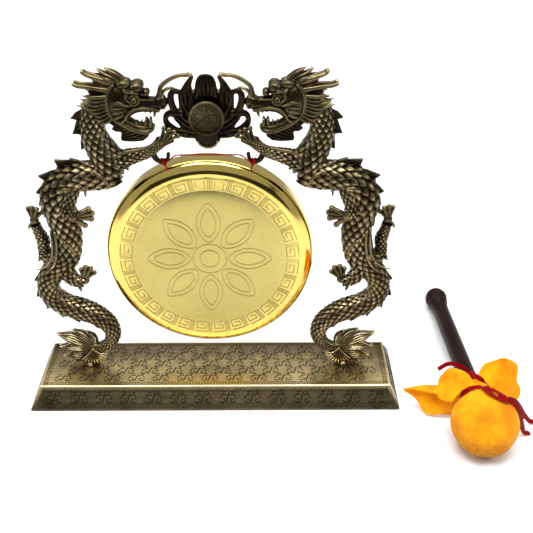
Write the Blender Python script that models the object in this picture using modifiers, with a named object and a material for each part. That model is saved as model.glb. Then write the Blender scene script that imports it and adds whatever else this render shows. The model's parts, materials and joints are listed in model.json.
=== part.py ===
"""A desktop double-dragon gong on a stamped base, with its velvet mallet.

Metres, +Z up.  The origin is the centre of the base's underside, X runs along
the base and the gong's face looks towards -Y.  Dimensions are written in
millimetres and pass through mm() on their way into Blender.  Each dragon is
drawn once, by its distance from the middle of the stand, and made for both
sides: side -1 is the left one and side +1 the right one.
"""

import math

import bmesh
import bpy
from mathutils import Vector

MM = 0.001
GAP = 0.3  # between pieces that touch

# Base
BASE_W, BASE_D, BASE_H = 280.0, 77.3, 15.9
BASE_SLANT_X, BASE_SLANT_Y = 7.2, 11.2
COVER_WALL = 1.0
COVER_LIFT = 1.0  # the cover stops this far above the ground
FELT_T = 1.0
BOARD_TOP = 9.0

# Gong
GONG_R, GONG_X, GONG_Z = 74.7, -1.8, 114.0
GONG_WALL = 1.2
GONG_REAR, GONG_EDGE, GONG_FACE = 13.0, 1.0, 5.0  # depths behind and before y = 0
FLAT_R, SHOULDER_R = 65.5, 72.0
HINGE_Z, HINGE_Y = 188.7, -1.0
CORD_X, CORD_HOLE_R, CORD_R = 29.0, 1.1, 0.6

# Fixing of the dragons
POST_X, POST_Y, POST_R, POST_TOP = 98.5, -1.0, 3.0, 22.0
SCREW_R, SCREW_HEAD_R = 1.4, 3.0

# One half of the gong's cord, from the knot inside the rim up and over the hook
CORD = [(29, -1, 180.5), (29, -1.1, 184.2), (29.3, -2.9, 186.6), (28.6, -3.9, 188.9),
        (26.4, -3.5, 190.6), (23.4, -2.1, 192.5), (19, -1.1, 193.3), (0, -1, 193.3)]

# Flame and pearl
PLAQUE_T = 4.0
PEARL_R, PEARL_Z, PEARL_T, PEARL_FRONT = 11.8, 221.5, 3.6, -7.4
RIVET_R, RIVET_HEAD_R = 1.6, 4.0

# Mallet: its own axes have Z along the handle, X level and Y downwards
BALL_AT, BALL_R = (191.9, -79.5, 23.7), 23.6
HANDLE_YAW, HANDLE_SLOPE = 0.56, 4.33  # degrees
KNOB_AT, KNOB_R = 180.0, 9.6
SHAFT_R_NECK, SHAFT_R_KNOB = 7.2, 6.7
TENON_R, CORE_R = 4.5, 12.0
NECK_AT, TIE_R = 27.5, 10.2

# Dragon stations: distance out, depth, height and radius
NECK = [(76.5, 0, 226.2, 7.6), (78.3, 0, 219, 8.4), (78.5, 0, 211, 9), (76.8, 0, 203, 9.8),
        (72.8, 0, 195, 10.5), (68, 0, 187.5, 11), (65, 0, 182, 9.5)]
TRUNK = [(61.5, 0, 182.5, 7.5), (66, 0, 181.5, 10.3), (73, 0, 179.5, 10.2), (81, 0, 178, 9.7),
         (92, 0, 176.5, 10), (102, 0, 170.5, 10.8), (107, 0, 160, 11), (105, 0, 148, 10.2),
         (103, 0, 136, 9.6), (103, 0, 125, 9), (105, 0, 114.5, 8.6), (111.5, 0, 106.5, 8.5),
         (118.5, 0, 99, 8), (122, 0, 90, 7.6), (120.5, 0, 80.5, 7.8), (111.5, 0, 72, 7.9),
         (101, 0, 68, 7.9), (90.5, 0, 63, 7.3), (81.5, 0, 55, 6.4), (78.5, 0, 46, 5.5),
         (81, 0, 38, 4.6), (87, 0, 33.2, 4), (95, 0, 31.5, 3.4)]
FORELEG = [(62, -3, 190, 6), (56, -4, 192.5, 5.4), (48, -3.5, 194.5, 4.4), (40, -3, 196.5, 3.6),
           (34.8, -4, 200.5, 3.1), (31.2, -5.5, 206, 2.8), (27.3, -6.3, 209.3, 2.5),
           (22, -6.3, 209.2, 2)]
HOOK = [(36, -3, 192.7, 1.7), (34.6, -2.4, 190.6, 1.6), (32.3, -1.6, 188.8, 1.4),
        (29.8, -1, 188.7, 1.3), (28.2, -1, 191, 1.4), (27.6, -1, 194.6, 1.9)]
LOW_FORELEG = [(95, -4, 169, 4.6), (97, -9, 161, 4), (98, -10.5, 154.5, 3.6), (97.5, -9, 150, 4),
               (92.5, -6, 149.5, 3.6), (87.5, -3, 149.8, 3.4)]
LOW_FORELEG_SPUR = [(98, -9, 152, 2), (101.5, -11.5, 154.5, 1.6), (104, -12, 153, 1.2)]
INNER_HIND_LEG = [(108, -2, 107, 5.5), (105, -3, 100, 5), (100, -3, 94.5, 4), (95, -3, 93.5, 3.3),
                  (90.5, -3, 96.5, 3.2), (88.5, -3, 101, 3.2), (90.5, -3, 105, 2.4)]
INNER_HIND_SPUR = [(98.8, -3, 94, 2), (98.6, -3, 90, 1.6), (98.3, -3, 86, 1.4)]
OUTER_HIND_LEG = [(115, 4, 107, 5), (122.5, 5, 111.5, 4.2), (122.5, 4, 118.5, 3.6),
                  (121.6, 3, 126, 4), (124.2, 2, 134.5, 3), (125.6, 1, 141, 3.2),
                  (124.8, 0, 147.5, 3.3), (124.2, 0, 153, 2.6)]
OUTER_HIND_SPUR = [(125, 2, 140.5, 2), (128, 2, 138.5, 1.6), (130.3, 2, 135.8, 1.2)]
UPPER_HORN = [(66.8, 0, 247, 1.9), (73, 0, 249.3, 1.7), (80.3, 0, 251.6, 1.5)]
LOWER_HORN = [(67.8, 0, 241.6, 1.8), (76, 0, 242, 1.6), (82, 0, 242.3, 1.5), (87.3, 0, 243.8, 1.5)]
WHISKER = [(32, -1, 235.2, 1.4), (30.8, -1, 240.5, 1.3), (27.5, 0, 243.7, 1.3),
           (21.5, 0, 246.8, 1.2), (16.5, 0, 248.4, 1.1), (11.8, 0, 248.8, 1)]
NOSE_CURL = [(28.9, 0, 236.6, 1.2), (26.9, 0, 239.6, 1.3), (23.2, 0, 240.4, 1.2)]

# Dragon outlines: distance out and height
SKULL = [(27, 231), (30.5, 233.5), (37, 233), (39.3, 236), (39.8, 239.5), (44.5, 244.8),
         (50, 245.5), (56, 246.5), (64, 245.5), (66, 241), (66, 229), (64, 223), (62, 219.5),
         (57, 220.5), (53, 221.5), (48.7, 224), (43, 225.2), (36, 224.6), (30, 223.5), (26.3, 226.5)]
JAW = [(61.5, 218.6), (57, 219.8), (53, 220.8), (50, 219.2), (46, 216.4), (41.8, 215.8),
       (41.3, 219), (38.7, 219.2), (37.4, 216), (36.8, 212), (39.5, 207.6), (44.5, 207.2),
       (50, 210), (56, 213.8)]
TUFT = [(56, 247.2), (60, 250.4), (65.5, 253.4), (64.4, 251.2), (70.5, 252.4), (65, 249.2),
        (64.6, 246.2)]
MANE = [(66.6, 239), (73, 239.3), (79.5, 237.6), (77.5, 236), (82.8, 234.6), (80.5, 232.5),
        (84, 229.2), (80.5, 227.8), (72, 227.5), (66.6, 227.6)]
BEARD = [(45, 206.6), (42.5, 204.6), (44, 202.3), (59.5, 202.4), (57.8, 205.6), (59.3, 207.4),
         (65.3, 209.8), (63.5, 212.4), (65.8, 214.5), (61.2, 217), (55.8, 213.1), (49.8, 209.3)]
TAIL_FIN = [(93.5, 38), (98, 47.3), (101.5, 44), (109, 48.9), (110.8, 43.6), (122, 45.3),
            (116.5, 38.5), (120.3, 33.2), (114.5, 30.5), (118.3, 25), (112, 19.5), (104, 16.4),
            (94, 16.4), (88.5, 20.5), (87.3, 27), (92, 31)]
PLAQUE = [(0, 248.7), (4, 247.9), (6.5, 244.5), (7.1, 239.3), (9, 236.8), (10.9, 239), (10.6, 243.5),
          (8.4, 249.4), (12.4, 246), (17, 238.8), (21.5, 238.2), (24.6, 236), (25, 231), (23.8, 225.5),
          (28.6, 221.2), (29.2, 217), (26, 213), (20.5, 209.8), (17.2, 205.8), (12, 204.5),
          (9.2, 204), (8.5, 201), (5, 198.6), (0, 198)]
PLAQUE_SLOT = [(19.2, 230.5), (20.2, 234.6), (21.2, 234.6), (21, 230.2)]
PLAQUE_OVAL = [(20.2, 213.6), (21.5, 216.4), (25, 219), (26.2, 218.2), (24.6, 215.6), (21.6, 213)]

# Velvet corners in the mallet's own axes: across, down and along
RUFFLE_CORNERS = [(-50, 3, 46), (-34, 18, 36), (32, 5, 36), (31, -12, 37), (24, -26, 39)]
RUFFLE_DIPS = [(-30, 9, 42), (0, 17, 37), (25, -4, 36), (-20, -17, 38), (2, -12, 42)]
BOW = [(-2.5, -26.2, 8.5), (3.5, -27.2, 2), (8, -26.6, -3)]
TAIL_A = [(12.5, -23, -3), (19, -17.5, 2), (25.5, -7, 9), (31, 3, 16), (36.5, 12, 22), (41.5, 18.6, 26),
          (47, 20.2, 28)]
TAIL_B = [(12.2, -24, -5.9), (18.6, -18, -4.4), (23.6, -7.5, 0), (27, 2.5, 5), (30.4, 12, 10), (34, 19, 14),
          (39, 20.9, 16)]

BRONZE = ("antique_bronze", (0.12, 0.09, 0.04), 0.45, 1.0)
STAMPED = ("stamped_brass", (0.30, 0.24, 0.11), 0.45, 1.0)
BRASS = ("polished_brass", (0.75, 0.58, 0.20), 0.2, 1.0)
STEEL = ("zinc_steel", (0.6, 0.6, 0.6), 0.35, 1.0)
BOARD = ("fibreboard", (0.35, 0.24, 0.14), 0.8, 0.0)
FELT = ("black_felt", (0.02, 0.02, 0.02), 0.95, 0.0)
RED_CORD = ("red_cord", (0.35, 0.02, 0.02), 0.7, 0.0)
WOOD = ("dark_wood", (0.05, 0.02, 0.015), 0.3, 0.0)
VELVET = ("yellow_velvet", (0.95, 0.45, 0.02), 0.8, 0.0)
RIBBON = ("red_ribbon", (0.45, 0.01, 0.01), 0.4, 0.0)
CUTTER = ("cutter", (1, 0, 0), 0.5, 0.0)


def mm(*values):
    """A vector in metres from millimetres."""
    return Vector(values) * MM


def clear_scene():
    for obj in list(bpy.data.objects):
        bpy.data.objects.remove(obj, do_unlink=True)


def new_collection(name):
    made = bpy.data.collections.new(name)
    bpy.context.scene.collection.children.link(made)
    return made


def material_for(name, finish):
    """A Principled material of this piece's own."""
    _, colour, roughness, metallic = finish
    made = bpy.data.materials.new(name)
    made.use_nodes = True
    shader = made.node_tree.nodes["Principled BSDF"]
    shader.inputs["Base Color"].default_value = (*colour, 1)
    shader.inputs["Roughness"].default_value = roughness
    shader.inputs["Metallic"].default_value = metallic
    return made


def add(name, data, finish):
    """Put a mesh or a curve in the scene as a piece, or as a hidden cutter."""
    obj = bpy.data.objects.new(name, data)
    data.materials.append(material_for(name, finish))
    if finish is CUTTER:
        obj.hide_render = True
        obj.display_type = "WIRE"
        cutters.objects.link(obj)
    else:
        pieces.objects.link(obj)
    return obj


def add_bmesh(name, bm, finish):
    mesh = bpy.data.meshes.new(name)
    bm.to_mesh(mesh)
    bm.free()
    return add(name, mesh, finish)


def as_mesh(obj, finish):
    """The curve's evaluated mesh as an object with welded caps, in the curve's place."""
    bpy.context.view_layer.update()
    graph = bpy.context.evaluated_depsgraph_get()
    mesh = bpy.data.meshes.new_from_object(obj.evaluated_get(graph))
    mesh.materials.clear()
    bm = bmesh.new()
    bm.from_mesh(mesh)
    bmesh.ops.remove_doubles(bm, verts=bm.verts, dist=1e-6)
    bmesh.ops.recalc_face_normals(bm, faces=bm.faces)
    bm.to_mesh(mesh)
    bm.free()
    name, matrix = obj.name, obj.matrix_world.copy()
    bpy.data.objects.remove(obj, do_unlink=True)
    made = add(name, mesh, finish)
    made.matrix_world = matrix
    return made


def smooth(stations, step):
    """Stations every step or so along a Catmull-Rom curve through the given ones."""
    route = []
    last = len(stations) - 1
    for i in range(last):
        before, start = stations[max(i - 1, 0)], stations[i]
        end, after = stations[i + 1], stations[min(i + 2, last)]
        count = max(1, round(math.dist(start[:3], end[:3]) / step))
        for k in range(count):
            t = k / count
            route.append(tuple(
                b + 0.5 * t * (c - a + t * (2 * a - 5 * b + 4 * c - d + t * (3 * (b - c) + d - a)))
                for a, b, c, d in zip(before, start, end, after)
            ))
    route.append(tuple(stations[last]))
    return route


def tube(name, stations, finish, step=5.0, side=1, grow=0.0):
    """A tapering tube through stations of x, y, z and radius, in millimetres."""
    curve = bpy.data.curves.new(name, "CURVE")
    curve.dimensions = "3D"
    curve.bevel_depth = MM
    curve.bevel_resolution = 2
    curve.use_fill_caps = True
    route = smooth(stations, step)
    spline = curve.splines.new("POLY")
    spline.points.add(len(route) - 1)
    for point, (x, y, z, radius) in zip(spline.points, route):
        point.co = (*mm(side * x, y, z), 1)
        point.radius = radius + grow
    return as_mesh(add(name, curve, finish), finish)


def plate(name, outlines, thickness, finish, side=1, y=0.0):
    """Upright flat pieces: the first outline is the edge and the others are holes."""
    curve = bpy.data.curves.new(name, "CURVE")
    curve.dimensions = "2D"
    curve.fill_mode = "BOTH"
    curve.extrude = thickness / 2 * MM
    for outline in outlines:
        spline = curve.splines.new("POLY")
        spline.points.add(len(outline) - 1)
        for point, (x, z) in zip(spline.points, outline):
            point.co = (*mm(side * x, z, 0), 1)
        spline.use_cyclic_u = True
    obj = add(name, curve, finish)
    obj.rotation_euler = (math.pi / 2, 0, 0)
    obj.location = mm(0, y, 0)
    return as_mesh(obj, finish)


def cylinder(name, radius, start, end, finish, sides=20):
    """A round bar between two points in millimetres."""
    bm = bmesh.new()
    start, end = mm(*start), mm(*end)
    bmesh.ops.create_cone(bm, cap_ends=True, segments=sides, radius1=radius * MM,
                          radius2=radius * MM, depth=(end - start).length)
    obj = add_bmesh(name, bm, finish)
    obj.location = (start + end) / 2
    obj.rotation_euler = (end - start).to_track_quat("Z", "Y").to_euler()
    return obj


def frustum(name, low, high, z_low, z_high, finish, open_below=False):
    """A box with slanted sides: low and high are its width and depth at each height."""
    bm = bmesh.new()
    bmesh.ops.create_cube(bm, size=1)
    for vert in bm.verts:
        width, depth = low if vert.co.z < 0 else high
        z = z_low if vert.co.z < 0 else z_high
        vert.co = mm(math.copysign(width / 2, vert.co.x), math.copysign(depth / 2, vert.co.y), z)
    if open_below:
        bottom = [face for face in bm.faces if face.normal.z < -0.9]
        bmesh.ops.delete(bm, geom=bottom, context="FACES_ONLY")
    return add_bmesh(name, bm, finish)


def turned(name, profile, finish, steps=40):
    """A solid of revolution about its own Z, from a profile of radius and height."""
    bm = bmesh.new()
    verts = [bm.verts.new(mm(radius, 0, height)) for radius, height in profile]
    for start, end in zip(verts, verts[1:]):
        bm.edges.new((start, end))
    obj = add_bmesh(name, bm, finish)
    screw = obj.modifiers.new("Turn", "SCREW")
    screw.steps = screw.render_steps = steps
    screw.use_merge_vertices = True
    screw.merge_threshold = 1e-6
    return obj


def boolean(obj, other, operation):
    modifier = obj.modifiers.new(other.name, "BOOLEAN")
    modifier.operation = operation
    modifier.object = other
    modifier.solver = "EXACT"


def cut(obj, *others):
    for other in others:
        boolean(obj, other, "DIFFERENCE")


def join(obj, *others):
    for other in others:
        boolean(obj, other, "UNION")


def base_size(z):
    """The base's outer width and depth at a height."""
    share = z / BASE_H
    return BASE_W - 2 * BASE_SLANT_X * share, BASE_D - 2 * BASE_SLANT_Y * share


def inside_base(z):
    """The width and depth that fit inside the cover at a height."""
    slack = 2 * (1.5 * COVER_WALL + GAP)
    width, depth = base_size(z)
    return width - slack, depth - slack


def build_base():
    cover = frustum("base_cover", base_size(COVER_LIFT), base_size(BASE_H), COVER_LIFT, BASE_H,
                    STAMPED, open_below=True)
    wall = cover.modifiers.new("Wall", "SOLIDIFY")
    wall.thickness = COVER_WALL * MM
    wall.use_even_offset = True
    board = frustum("base_board", inside_base(FELT_T + GAP), inside_base(BOARD_TOP),
                    FELT_T + GAP, BOARD_TOP, BOARD)
    felt = inside_base(FELT_T)
    frustum("base_felt", felt, felt, 0, FELT_T, FELT)
    for side, name in SIDES:
        x = side * POST_X
        hole = cylinder(f"{name}_screw_hole", SCREW_R + GAP, (x, POST_Y, 0), (x, POST_Y, 30), CUTTER)
        sink = cylinder(f"{name}_head_sink", SCREW_HEAD_R + GAP, (x, POST_Y, 0), (x, POST_Y, 3.4), CUTTER)
        cut(cover, hole)
        cut(board, hole, sink)


def crest_outline(stations, first, last, height):
    """A saw-toothed strip that follows a run of stations on their outer side."""
    route = smooth(stations[first:last + 1], 4.0)
    inner, outer = [], []
    for i, (x, _, z, radius) in enumerate(route):
        x0, _, z0, _ = route[max(i - 1, 0)]
        x1, _, z1, _ = route[min(i + 1, len(route) - 1)]
        run = math.hypot(x1 - x0, z1 - z0)
        normal_x, normal_z = -(z1 - z0) / run, (x1 - x0) / run
        reach = radius + 1.2 + height * ((i % 4) / 3)
        inner.append((x + normal_x * (radius - 3), z + normal_z * (radius - 3)))
        outer.append((x + normal_x * reach, z + normal_z * reach))
    return inner + outer[::-1]


def build_dragon(side, name):
    neck_cutter = tube(f"{name}_neck_cutter", NECK, CUTTER, side=side, grow=GAP)
    trunk_cutter = tube(f"{name}_trunk_cutter", TRUNK, CUTTER, side=side, grow=GAP)
    body = tube(f"{name}_dragon_body", TRUNK, BRONZE, side=side)
    join(body, tube(f"{name}_neck_join", NECK, CUTTER, side=side))

    plate(f"{name}_dragon_head", [SKULL], 15, BRONZE, side)
    plate(f"{name}_lower_jaw", [JAW], 10, BRONZE, side)
    plate(f"{name}_brow_tuft", [TUFT], 8, BRONZE, side)
    plate(f"{name}_cheek_mane", [MANE], 16, BRONZE, side)
    plate(f"{name}_beard", [BEARD], 9, BRONZE, side)
    tube(f"{name}_upper_horn", UPPER_HORN, BRONZE, side=side)
    tube(f"{name}_lower_horn", LOWER_HORN, BRONZE, side=side)
    tube(f"{name}_whisker", WHISKER, BRONZE, side=side)
    tube(f"{name}_nose_curl", NOSE_CURL, BRONZE, side=side)

    neck_crest = plate(f"{name}_neck_crest", [crest_outline(NECK, 1, 4, 3.2)], 3, BRONZE, side)
    cut(neck_crest, neck_cutter)
    back_crest = plate(f"{name}_back_crest", [crest_outline(TRUNK, 4, 8, 3.2)], 3, BRONZE, side)
    cut(back_crest, trunk_cutter)
    tail_crest = plate(f"{name}_tail_crest", [crest_outline(TRUNK, 12, 18, 3.0)], 3, BRONZE, side)
    cut(tail_crest, trunk_cutter)

    hook_cutter = tube(f"{name}_hook_cutter", HOOK, CUTTER, 2.0, side, GAP)
    foreleg = tube(f"{name}_raised_foreleg", FORELEG, BRONZE, side=side)
    cut(foreleg, neck_cutter, trunk_cutter, hook_cutter)
    tube(f"{name}_hook", HOOK, BRONZE, 2.0, side)

    low_foreleg = tube(f"{name}_lower_foreleg", LOW_FORELEG, BRONZE, side=side)
    join(low_foreleg, tube(f"{name}_lower_foreleg_spur", LOW_FORELEG_SPUR, CUTTER, side=side))
    cut(low_foreleg, trunk_cutter)
    inner_leg = tube(f"{name}_inner_hind_leg", INNER_HIND_LEG, BRONZE, side=side)
    join(inner_leg, tube(f"{name}_inner_hind_spur", INNER_HIND_SPUR, CUTTER, side=side))
    cut(inner_leg, trunk_cutter)
    outer_leg = tube(f"{name}_outer_hind_leg", OUTER_HIND_LEG, BRONZE, side=side)
    join(outer_leg, tube(f"{name}_outer_hind_spur", OUTER_HIND_SPUR, CUTTER, side=side))
    cut(outer_leg, trunk_cutter)

    x = side * POST_X
    fin = plate(f"{name}_tail_fin", [TAIL_FIN], 11, BRONZE, side)
    seat = cylinder(f"{name}_post_seat", POST_R + GAP, (x, POST_Y, 10), (x, POST_Y, POST_TOP + GAP), CUTTER)
    cut(fin, trunk_cutter, seat)
    post = cylinder(f"{name}_foot_post", POST_R, (x, POST_Y, BASE_H + GAP), (x, POST_Y, POST_TOP), BRONZE)
    bore = cylinder(f"{name}_post_bore", SCREW_R + GAP, (x, POST_Y, 10), (x, POST_Y, POST_TOP - 1.5), CUTTER)
    cut(post, bore)
    screw = cylinder(f"{name}_foot_screw", SCREW_R, (x, POST_Y, 2), (x, POST_Y, POST_TOP - 2), STEEL, 12)
    head = cylinder(f"{name}_screw_head", SCREW_HEAD_R, (x, POST_Y, 1.5), (x, POST_Y, 3), CUTTER)
    join(screw, head)


def mirrored(outline):
    """A closed outline from its right half, which starts and ends on the middle line."""
    return outline + [(-x, z) for x, z in outline[-2:0:-1]]


def build_flame():
    holes = [[(side * x, z) for x, z in hole] for hole in (PLAQUE_SLOT, PLAQUE_OVAL) for side in (-1, 1)]
    plaque = plate("flame_plaque", [mirrored(PLAQUE)] + holes, PLAQUE_T, BRONZE)
    through = cylinder("rivet_hole", RIVET_R + GAP, (0, -10, PEARL_Z), (0, 10, PEARL_Z), CUTTER)
    cut(plaque, through)
    rear = PEARL_FRONT + PEARL_T
    cylinder("pearl_disc", PEARL_R, (0, PEARL_FRONT, PEARL_Z), (0, rear, PEARL_Z), BRONZE, 36)
    head_at = PLAQUE_T / 2 + GAP
    rivet = cylinder("pearl_rivet", RIVET_R, (0, rear + GAP, PEARL_Z), (0, head_at + 1, PEARL_Z), BRONZE, 12)
    head = cylinder("rivet_head", RIVET_HEAD_R, (0, head_at, PEARL_Z), (0, head_at + 2, PEARL_Z), CUTTER)
    join(rivet, head)


def gong_profile():
    """The gong's section from the front centre round the rim and back inside."""
    outer = [(0, GONG_FACE), (FLAT_R, GONG_FACE), (68.5, GONG_FACE - 0.5), (SHOULDER_R, GONG_FACE - 2.4),
             (GONG_R - 0.9, GONG_EDGE + 0.6), (GONG_R, GONG_EDGE - 1.5), (GONG_R, -GONG_REAR)]
    wall = GONG_WALL
    inner = [(GONG_R - wall, -GONG_REAR), (GONG_R - wall, GONG_EDGE - 1.7),
             (SHOULDER_R - 0.8, GONG_FACE - 3.9), (68, GONG_FACE - 1.8), (FLAT_R, GONG_FACE - wall),
             (0, GONG_FACE - wall)]
    return outer + inner


def build_gong():
    """The disc hangs from a pivot on the line between the two hooks."""
    swing = bpy.data.objects.new("gong_swing", None)
    pieces.objects.link(swing)
    swing.location = mm(0, HINGE_Y, HINGE_Z)
    disc = turned("gong_disc", gong_profile(), BRASS, 48)
    disc.rotation_euler = (math.pi / 2, 0, 0)
    disc.parent = swing
    disc.location = mm(GONG_X, -HINGE_Y, GONG_Z - HINGE_Z)
    for side, name in SIDES:
        x = side * CORD_X
        hole = cylinder(f"{name}_rim_hole", CORD_HOLE_R, (x, HINGE_Y, 170), (x, HINGE_Y, 187), CUTTER, 12)
        cut(disc, hole)
    half = [(*at, CORD_R) for at in CORD]
    across = half[:-1] + [(-x, y, z, radius) for x, y, z, radius in half[::-1]]
    tube("gong_cord", across, RED_CORD, 2.5)


def ring_point(angle, share):
    """A point of the velvet between the neck, share 0, and its free edge, share 1."""
    corners = RUFFLE_CORNERS + RUFFLE_DIPS
    around = sorted(corners, key=lambda corner: math.atan2(corner[1], corner[0]))
    angles = [math.atan2(corner[1], corner[0]) for corner in around]
    place = next((i for i, known in enumerate(angles) if known > angle), 0)
    low, high = place - 1, place
    span = (angles[high] - angles[low]) % math.tau
    t = ((angle - angles[low]) % math.tau) / span
    edge = [a + (b - a) * t for a, b in zip(around[low], around[high])]
    start = (TIE_R * 1.25 * math.cos(angle), TIE_R * 1.25 * math.sin(angle), NECK_AT + 4.5)
    return tuple(a + (b - a) * share for a, b in zip(start, edge))


def build_ruffle(parent):
    """The free edge of the velvet square, flared out from the tie."""
    bm = bmesh.new()
    segments, rings = 36, 3
    rows = []
    for ring in range(rings):
        share = ring / (rings - 1)
        rows.append([bm.verts.new(mm(*ring_point(math.tau * i / segments - math.pi, share)))
                     for i in range(segments)])
    for row, after in zip(rows, rows[1:]):
        for i in range(segments):
            j = (i + 1) % segments
            bm.faces.new((row[i], row[j], after[j], after[i]))
    ruffle = add_bmesh("velvet_ruffle", bm, VELVET)
    wall = ruffle.modifiers.new("Thickness", "SOLIDIFY")
    wall.thickness = 2 * MM
    wall.offset = 0
    ruffle.parent = parent


def ball_profile():
    """The padded ball with the socket for its core open at the neck."""
    cavity = CORE_R + GAP
    outer = [(TIE_R - 1.5, NECK_AT + 1)]
    outer += [(BALL_R * math.sin(a), BALL_R * math.cos(a))
              for a in (math.radians(step) for step in range(30, 181, 15))]
    mouth = SHAFT_R_NECK + GAP
    start = math.asin(mouth / cavity)
    inner = [(cavity * math.sin(a), -cavity * math.cos(a))
             for a in (math.radians(step) for step in range(0, 141, 20))]
    inner += [(cavity * math.sin(start), cavity * math.cos(start)), (mouth, NECK_AT + 1)]
    return outer + inner


def build_mallet():
    """Everything hangs on an empty at the ball's centre, with Z along the handle."""
    rest = bpy.data.objects.new("mallet_rest", None)
    pieces.objects.link(rest)
    rest.location = mm(*BALL_AT)
    rest.rotation_euler = (math.radians(-90 - HANDLE_SLOPE), 0, math.radians(HANDLE_YAW))

    ball_outline = ball_profile()
    ball = turned("velvet_ball", ball_outline + ball_outline[:1], VELVET, 24)
    core = turned("mallet_core", [(CORE_R * math.sin(math.radians(a)), CORE_R * math.cos(math.radians(a)))
                                  for a in range(0, 181, 30)], WOOD, 16)
    socket = cylinder("core_socket", TENON_R + GAP, (0, 0, -6 - GAP), (0, 0, 20), CUTTER)
    cut(core, socket)
    knob = [(KNOB_R * math.sin(a), KNOB_AT + KNOB_R * math.cos(a))
            for a in (math.radians(step) for step in range(0, 136, 15))]
    shaft = [(SHAFT_R_KNOB, KNOB_AT - 9), (SHAFT_R_NECK, 14.5), (TENON_R, 14.5), (TENON_R, -6), (0, -6)]
    handle = turned("handle", knob + shaft, WOOD, 24)
    tie = turned("ribbon_tie", [(TIE_R - 1.2, NECK_AT + 3.6), (TIE_R + 0.4, NECK_AT + 3.6),
                                (TIE_R + 0.4, NECK_AT + 1.3), (TIE_R - 1.2, NECK_AT + 1.3),
                                (TIE_R - 1.2, NECK_AT + 3.6)], RIBBON, 24)
    for obj in (ball, core, socket, handle, tie):
        obj.parent = rest
    build_ruffle(rest)
    bow = tube("ribbon_bow", [(*at, 2.2) for at in BOW], RIBBON, 3.0)
    bow.parent = rest
    for name, route in (("ribbon_tail_long", TAIL_A), ("ribbon_tail_short", TAIL_B)):
        tail = tube(name, [(*at, 0.8) for at in route], RIBBON, 4.0)
        tail.parent = rest


SIDES = ((-1, "left"), (1, "right"))

clear_scene()
pieces = new_collection("Double_dragon_gong")
cutters = new_collection("Cutters")
build_base()
for dragon_side, dragon_name in SIDES:
    build_dragon(dragon_side, dragon_name)
build_flame()
build_gong()
build_mallet()
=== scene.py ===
"""The looks of a desktop double-dragon gong, its stamped base and its velvet mallet.

Sizes are written in millimetres and turned into metres by mm().  Each dragon is
modelled once by its distance out from the middle of the stand and placed on
both sides.  Cast bronze is pressed together from rough forms and smoothed.
"""

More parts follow.
